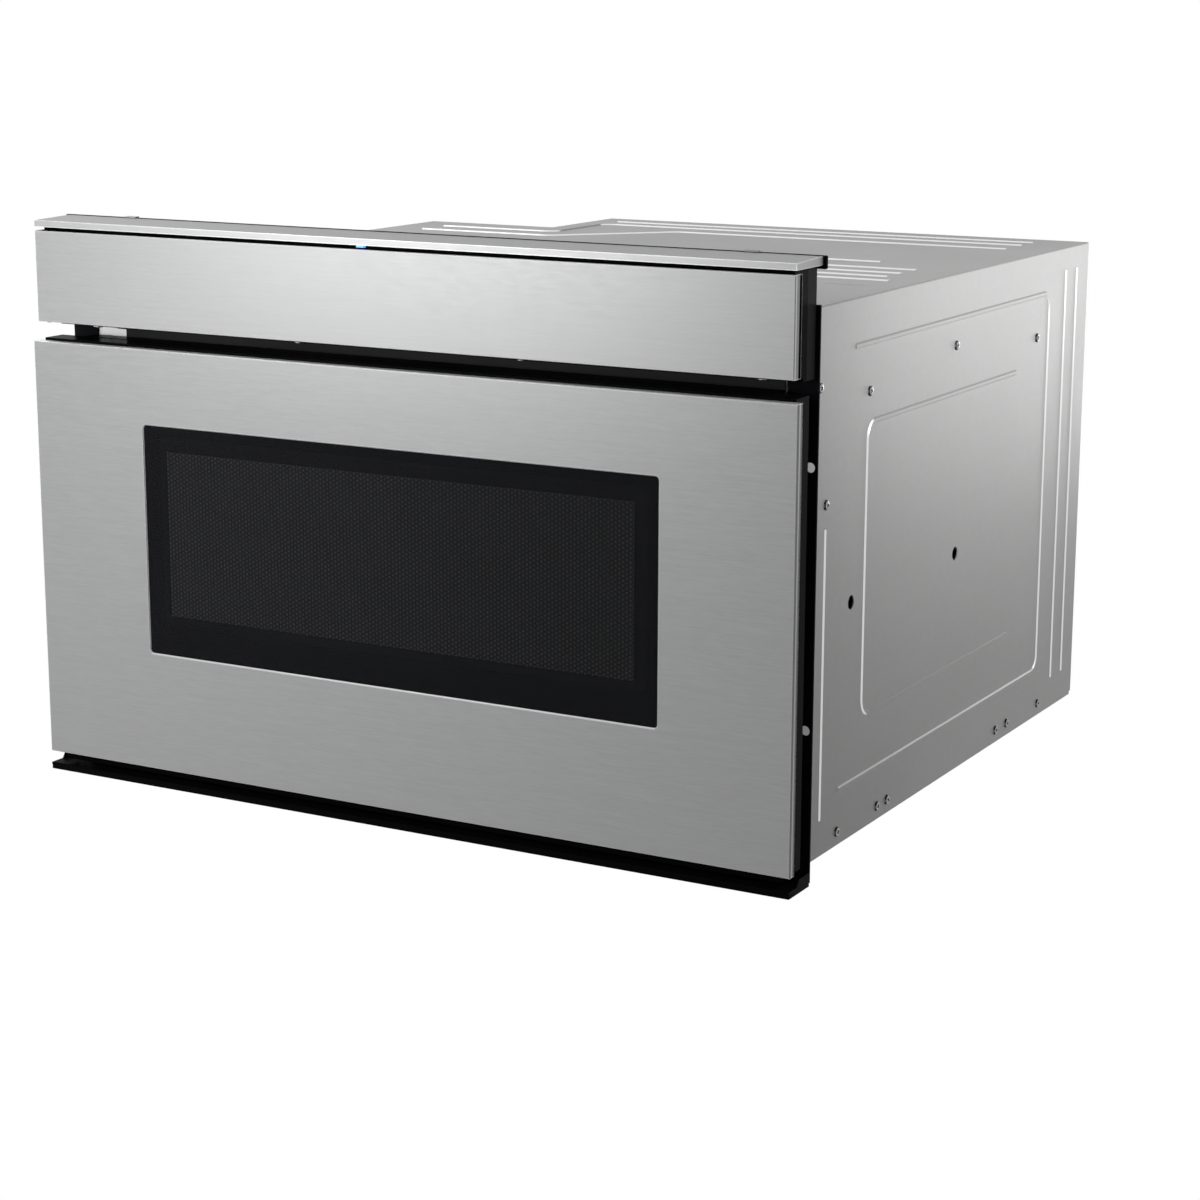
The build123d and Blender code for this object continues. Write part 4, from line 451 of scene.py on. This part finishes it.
def wound(name):
    """Enamelled copper wire in close turns."""
    s = Surface(name, metallic=0.8, roughness=0.35)
    turns = s.tree.nodes.new("ShaderNodeTexWave")
    turns.bands_direction = "Z"
    turns.inputs["Scale"].default_value = 160.0
    s.link(s.coordinates, turns.inputs["Vector"])
    s.color(s.ramp(turns.outputs["Fac"], (0.22, 0.07, 0.02), (0.60, 0.25, 0.10), 0.2, 0.8))
    s.bump(turns.outputs["Fac"], 0.5, 0.0004)
    return s.material


def laminated(name):
    """Stacked iron laminations under varnish."""
    s = Surface(name, metallic=0.6, roughness=0.5)
    stack = s.noise(1.0, (5, 1500, 5), 2.0)
    s.color(s.ramp(stack, (0.05, 0.045, 0.04), (0.17, 0.15, 0.13)))
    s.bump(stack, 0.4, 0.0003)
    return s.material


def glowing(name, color, strength):
    """A clear lens lit from behind."""
    s = Surface(name, roughness=0.25)
    glow = s.noise(300.0, (1, 1, 1), 1.0)
    s.color(s.ramp(glow, tuple(0.8 * v for v in color), color))
    s.shader.inputs["Emission Color"].default_value = (*color, 1)
    s.shader.inputs["Emission Strength"].default_value = strength
    return s.material


# What each look is made of, by the name that dress and the pieces use for it.
looks = {
    # The front's tops get painted light and the trim's tops painted shade.
    "front": stainless("front_stainless", painted_top_light=2.4),
    "strip": stainless("strip_stainless", (0.385, 0.387, 0.39), painted_shade_from=-0.2876),
    "trim": stainless("trim_stainless", (0.43, 0.432, 0.435), painted_top_light=0.72, painted_hem_reflection=False),
    "lip": painted("lip_enamel", (0.006, 0.006, 0.006), (0.60, 0.60, 0.60), "Z", 0.4057,
                   tabs=(0.003, 0.2436, 0.0049)),
    "housing": painted("housing_enamel", (0.003, 0.003, 0.0032), (0.026, 0.026, 0.026), "Y", -0.2683),
    "case": galvanised("case_galvanised"),
    "inside": galvanised("inside_galvanised", (0.38, 0.38, 0.38), rough=0.5),
    "enamel": moulded("cavity_enamel", (0.55, 0.55, 0.53), rough=0.3, grain=300.0),
    "black": moulded("black_plastic", (0.005, 0.005, 0.0055), rough=0.4, specular=0.15),
    # A lighter copy of the black sheet enamel: painted light for the flange, which sits in shade.
    "flange": moulded("flange_enamel_lightened", (0.0095, 0.010, 0.012), rough=0.3, grain=600.0, specular=0.008),
    "black_sheet": moulded("black_sheet", (0.003, 0.003, 0.0035), rough=0.3, grain=600.0, specular=0.008),
    "light": moulded("light_plastic", (0.62, 0.62, 0.60), rough=0.35),
    "nylon": moulded("nylon", (0.66, 0.65, 0.60), rough=0.4),
    "mica": moulded("mica", (0.60, 0.55, 0.44), rough=0.5, grain=120.0),
    # A dark grey sheet that darkens the gap over the drawer.
    "gap_darkener": moulded("gap_darkener_sheet", (0.03, 0.03, 0.03), rough=0.4, grain=600.0, specular=0.05),
    "rubber": moulded("rubber", (0.012, 0.012, 0.012), rough=0.7),
    "plated": plated("plated_steel"),
    "screw": screw_steel("dark_zinc"),
    "aluminium": plated("aluminium", (0.70, 0.70, 0.71), rough=0.38),
    "can": plated("can_metal", (0.50, 0.50, 0.52), rough=0.3),
    "window": glassy("window_glass", (0.0155, 0.016, 0.0185), alpha=0.55, specular=0.05),
    "clear": glassy("clear_glass", (0.55, 0.60, 0.58), alpha=0.35, specular=0.5),
    "touch": glassy("touch_glass", (0.006, 0.006, 0.007), alpha=0.97, specular=0.2),
    "screen": perforated("window_screen", row=0.0031, column=0.00275, radius=0.0011,
                         sheet=(0.004, 0.004, 0.004), zone=(0.098, 0.098, 0.098), hole=(0.300, 0.300, 0.300)),
    "board": board_lacquer("board_lacquer"),
    "winding": wound("copper_winding"),
    "core": laminated("laminated_core"),
    "led": glowing("blue_lens", (0.05, 0.16, 0.95), 3.0),
    "ink": moulded("printed_ink", (0.62, 0.63, 0.64), rough=0.5, grain=1500.0),
}
# The CAD nodes that wear each look.
dress = {
    "front": ["drawer_front_panel"],
    "strip": ["control_strip"],
    "trim": ["top_trim"],
    "lip": ["trim_rear_lip"],
    "housing": ["control_housing"],
    "case": ["case_wrap", "back_panel", "base_chassis", "cavity_front_plate"],
    "inside": ["stirrer_dome", "waveguide", "drive_bracket"],
    "enamel": ["cavity_shell", "cavity_vents"],
    "black": ["choke_cover", "latch_hooks", "control_carrier", "fan_shroud",
              "fan_blade", "air_duct", "interlock_switches", "drive_motor"],
    "flange": ["mounting_flange"],
    "black_sheet": ["bottom_sash", "inner_door_plate", "door_frame"],
    "light": ["drawer_bin", "thermal_cutouts"],
    "nylon": ["drive_rack", "drive_pinion"],
    "mica": ["stirrer_cover"],
    "rubber": ["cord_bushing"],
    "plated": ["rail_outer_left", "rail_outer_right", "rail_middle_left", "rail_middle_right",
               "rail_inner_left", "rail_inner_right", "drawer_arm_left", "drawer_arm_right",
               "housing_screws", "drawer_screws", "panel_hinge_pins"],
    "aluminium": ["stirrer_blade", "magnetron"],
    "can": ["fan_motor", "stirrer_motor", "hv_capacitor"],
    "window": ["window_glass"],
    "clear": ["inner_glass", "glass_tray", "oven_lamp"],
    "touch": ["touch_glass"],
    "screen": ["window_screen"],
    "board": ["power_board", "noise_filter_board", "control_board"],
    "winding": ["hv_transformer_windings"],
    "core": ["hv_transformer_core"],
    "led": ["status_led"],
}
for look, names in dress.items():
    for name in names:
        slots = nodes[name].data.materials
        if not slots:
            slots.append(None)
        for index in range(len(slots)):
            slots[index] = looks[look]

# --- pieces ----------------------------------------------------------------------------------------


def finish_piece(name, bm, look, body, smooth=None):
    """A mesh object from a bmesh, with its finish and the body that it rides on."""
    mesh = bpy.data.meshes.new(name)
    bmesh.ops.recalc_face_normals(bm, faces=bm.faces)
    bm.to_mesh(mesh)
    bm.free()
    piece = bpy.data.objects.new(name, mesh)
    scene.collection.objects.link(piece)
    mesh.materials.append(looks[look])
    if smooth is not None:
        mesh.shade_smooth()
        mesh.set_sharp_from_angle(angle=math.radians(smooth))
    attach(piece, body)
    return piece


def islands(obj):
    """The separate solids of a node, each as its lowest and highest corner."""
    bm = bmesh.new()
    bm.from_mesh(obj.data)
    bmesh.ops.remove_doubles(bm, verts=bm.verts, dist=1e-6)
    unseen = set(bm.verts)
    found = []
    while unseen:
        stack = [unseen.pop()]
        members = []
        while stack:
            vert = stack.pop()
            members.append(vert.co.copy())
            for edge in vert.link_edges:
                other = edge.other_vert(vert)
                if other in unseen:
                    unseen.discard(other)
                    stack.append(other)
        found.append(tuple(Vector(pick(co[axis] for co in members) for axis in range(3))
                           for pick in (min, max)))
    bm.free()
    return sorted(found, key=lambda box: tuple(box[0]))


# Shares of the head's radius at which its rings of points lie, and the points in each.
head_rings = (0.0, 0.10, 0.19, 0.28, 0.37, 0.46, 0.53, 0.60, 0.74, 0.88, 0.97, 1.0)
head_turns = 32
cross_half_width, cross_reach, cross_depth = 0.13, 0.50, 0.62


def screw_head(bm, seat, outward, radius, height, turn):
    """A pan head with a cross recess, seated on a face."""
    side = outward.orthogonal().normalized()
    up = outward.cross(side)

    def point(share, angle, rise):
        across = side * (share * math.cos(angle) * radius) + up * (share * math.sin(angle) * radius)
        return bm.verts.new(seat + across + outward * rise)

    steps = [2 * math.pi * step / head_turns for step in range(head_turns)]
    rings = []
    for share in head_rings:
        if share < 0.97:
            crown = height * (1.0 - 0.32 * share ** 2)
        else:
            crown = height * (0.60 if share < 1 else 0.30)
        ring = []
        for step in steps:
            a, b = abs(share * math.cos(step)), abs(share * math.sin(step))
            in_cross = min(a, b) < cross_half_width and max(a, b) < cross_reach
            shallower = 1.0 - 0.5 * max(a, b) / cross_reach
            drop = height * cross_depth * shallower if in_cross else 0.0
            ring.append(point(share, turn + step, crown - drop))
        rings.append(ring)
    rings.append([point(1.0, turn + step, 0.0) for step in steps])
    for inner, outer in zip(rings, rings[1:]):
        for step in range(head_turns):
            bm.faces.new((inner[step], outer[step], outer[(step + 1) % head_turns],
                          inner[(step + 1) % head_turns]))
    bm.faces.new(rings[-1])
    bmesh.ops.remove_doubles(bm, verts=rings[0], dist=1e-7)


def outward_sign(axis, at):
    """Away from the middle on the sides, back at the rear, and down under the control housing."""
    if axis == 0:
        return 1 if at.x > 0 else -1
    return 1 if axis == 1 else -1


def heads_for(node, body, axes, name, look):
    """Cross-recessed heads over a node's plain ones that lie along these axes."""
    bm = bmesh.new()
    for number, (low, high) in enumerate(islands(nodes[node])):
        size = high - low
        axis = min(range(3), key=lambda k: size[k])
        if axis not in axes:
            continue
        center = (low + high) / 2
        outward = Vector((0, 0, 0))
        outward[axis] = outward_sign(axis, center)
        seat = center - outward * size[axis] / 2
        screw_head(bm, seat, outward, max(size) / 2, size[axis], 0.7 * number)
    piece = finish_piece(name, bm, look, body, 35)
    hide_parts(node)


heads_for("housing_screws", "housing", (0, 1), "housing_screws_cross", "screw")
heads_for("housing_screws", "housing", (2,), "control_screws_cross", "plated")
heads_for("drawer_screws", "drawer", (0,), "drawer_screws_cross", "plated")


def thin_sheet(name, rows, thickness, look):
    """A sheet through rows of points, on the housing."""
    bm = bmesh.new()
    verts = [[bm.verts.new(point) for point in row] for row in rows]
    for first, second in zip(verts, verts[1:]):
        for index in range(len(first) - 1):
            bm.faces.new((first[index], second[index], second[index + 1], first[index + 1]))
    bmesh.ops.recalc_face_normals(bm, faces=bm.faces)
    bmesh.ops.solidify(bm, geom=bm.faces[:], thickness=thickness)
    finish_piece(name, bm, look, "housing", 35)


# --- dark folded sheet that darkens the gap over the drawer, its outline as (y, z) ---------------
darkener_face, darkener_top, darkener_bottom = -0.2556, 0.3288, 0.3040
darkener_outline = [(-0.2660, darkener_top - 0.0003), (-0.2640, darkener_top), (darkener_face - 0.0006, darkener_top),
                  (darkener_face, darkener_top - 0.0006), (darkener_face, darkener_bottom),
                  (darkener_face + 0.0005, darkener_bottom - 0.0010)]
darkener_left, darkener_right, darkener_steps = -0.2470, 0.2720, 12
darkener_width = darkener_right - darkener_left
thin_sheet("gap_darkening_sheet", [[(darkener_left + darkener_width * step / darkener_steps, y, z) for y, z in darkener_outline]
                          for step in range(darkener_steps + 1)], 0.0007, "gap_darkener")

# --- lower edge of the black sash: a thin lip along the front and both sides ----------------------
sash_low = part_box("bottom_sash")[0]
lip_drop, lip_lap, lip_rise, lip_thickness = 0.0032, 0.0016, 0.0060, 0.0008
lip_corner, lip_inset = 0.0006, 0.00002
lip_left, lip_front = sash_low[0] + lip_inset, sash_low[1] + lip_inset
lip_path = [(lip_left, sash_low[1] + along, rise)
            for along, rise in ((0.0302, lip_rise), (0.0150, lip_rise), (0.0120, lip_lap))]
for turn in range(5):
    angle = math.pi / 2 * turn / 4
    lip_path.append((lip_left + lip_corner * (1 - math.cos(angle)),
                     lip_front + lip_corner * (1 - math.sin(angle)), lip_lap))
lip_path += [(-x, y, rise) for x, y, rise in reversed(lip_path)]
thin_sheet("sash_lip", [[(x, y, sash_low[2] - lip_drop) for x, y, rise in lip_path],
                        [(x, y, sash_low[2] + rise) for x, y, rise in lip_path]], lip_thickness, "black_sheet")

# --- printed keys on the control glass ----------------------------------------------------------
glass_low, glass_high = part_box("touch_glass")
glass_fall, print_lift = 0.013, 0.00005
slope = math.atan2(glass_fall, glass_high[1] - glass_low[1])
glass_up = Vector((0, math.cos(slope), -math.sin(slope)))
glass_out = Vector((0, math.sin(slope), math.cos(slope)))
glass_front = Vector((0, glass_low[1], glass_high[2]))
glass_turn = Matrix((Vector((1, 0, 0)), glass_up, glass_out)).transposed().to_4x4()


def on_glass(x, along):
    """A place just over the glass, at a distance from its front edge."""
    place = glass_front + Vector((x, 0, 0)) + glass_up * along + glass_out * print_lift
    return Matrix.Translation(place) @ glass_turn


def printed_key(bm, x, along, width, height, corner, line):
    """A thin rounded outline, as printed round a key."""
    loops = []
    for inset in (0.0, line):
        loop = []
        for quarter, (side, end) in enumerate(((1, 1), (-1, 1), (-1, -1), (1, -1))):
            for step in range(5):
                angle = math.pi / 2 * (quarter + step / 4)
                reach = corner - inset
                place = on_glass(x + side * (width / 2 - corner) + reach * math.cos(angle),
                                 along + end * (height / 2 - corner) + reach * math.sin(angle))
                loop.append(bm.verts.new(place.to_translation()))
        loops.append(loop)
    count = len(loops[0])
    for index in range(count):
        after = (index + 1) % count
        bm.faces.new((loops[0][index], loops[0][after], loops[1][after], loops[1][index]))


key_row, key_pitch, first_key = 0.017, 0.026, -0.117
legends = [(str((number + 1) % 10), first_key + key_pitch * number) for number in range(10)]
legends += [("ON", 0.186), ("OFF", 0.222)]
bm = bmesh.new()
for text, x in legends:
    printed_key(bm, x, key_row, 0.0225 if len(text) == 1 else 0.030, 0.015, 0.004, 0.0005)
display_x, display_width, display_height = -0.200, 0.090, 0.020
printed_key(bm, display_x, key_row, display_width, display_height, 0.003, 0.0007)
finish_piece("key_outlines", bm, "ink", "control_panel")
for text, x in legends:
    curve = bpy.data.curves.new("legend_" + text, "FONT")
    curve.body = text
    curve.size = 0.0095 if len(text) == 1 else 0.0075
    curve.align_x = "CENTER"
    curve.align_y = "CENTER"
    curve.extrude = 0.00001
    curve.resolution_u = 3
    legend = bpy.data.objects.new("legend_" + text, curve)
    legend.matrix_world = on_glass(x, key_row)
    scene.collection.objects.link(legend)
    curve.materials.append(looks["ink"])
    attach(legend, "control_panel")
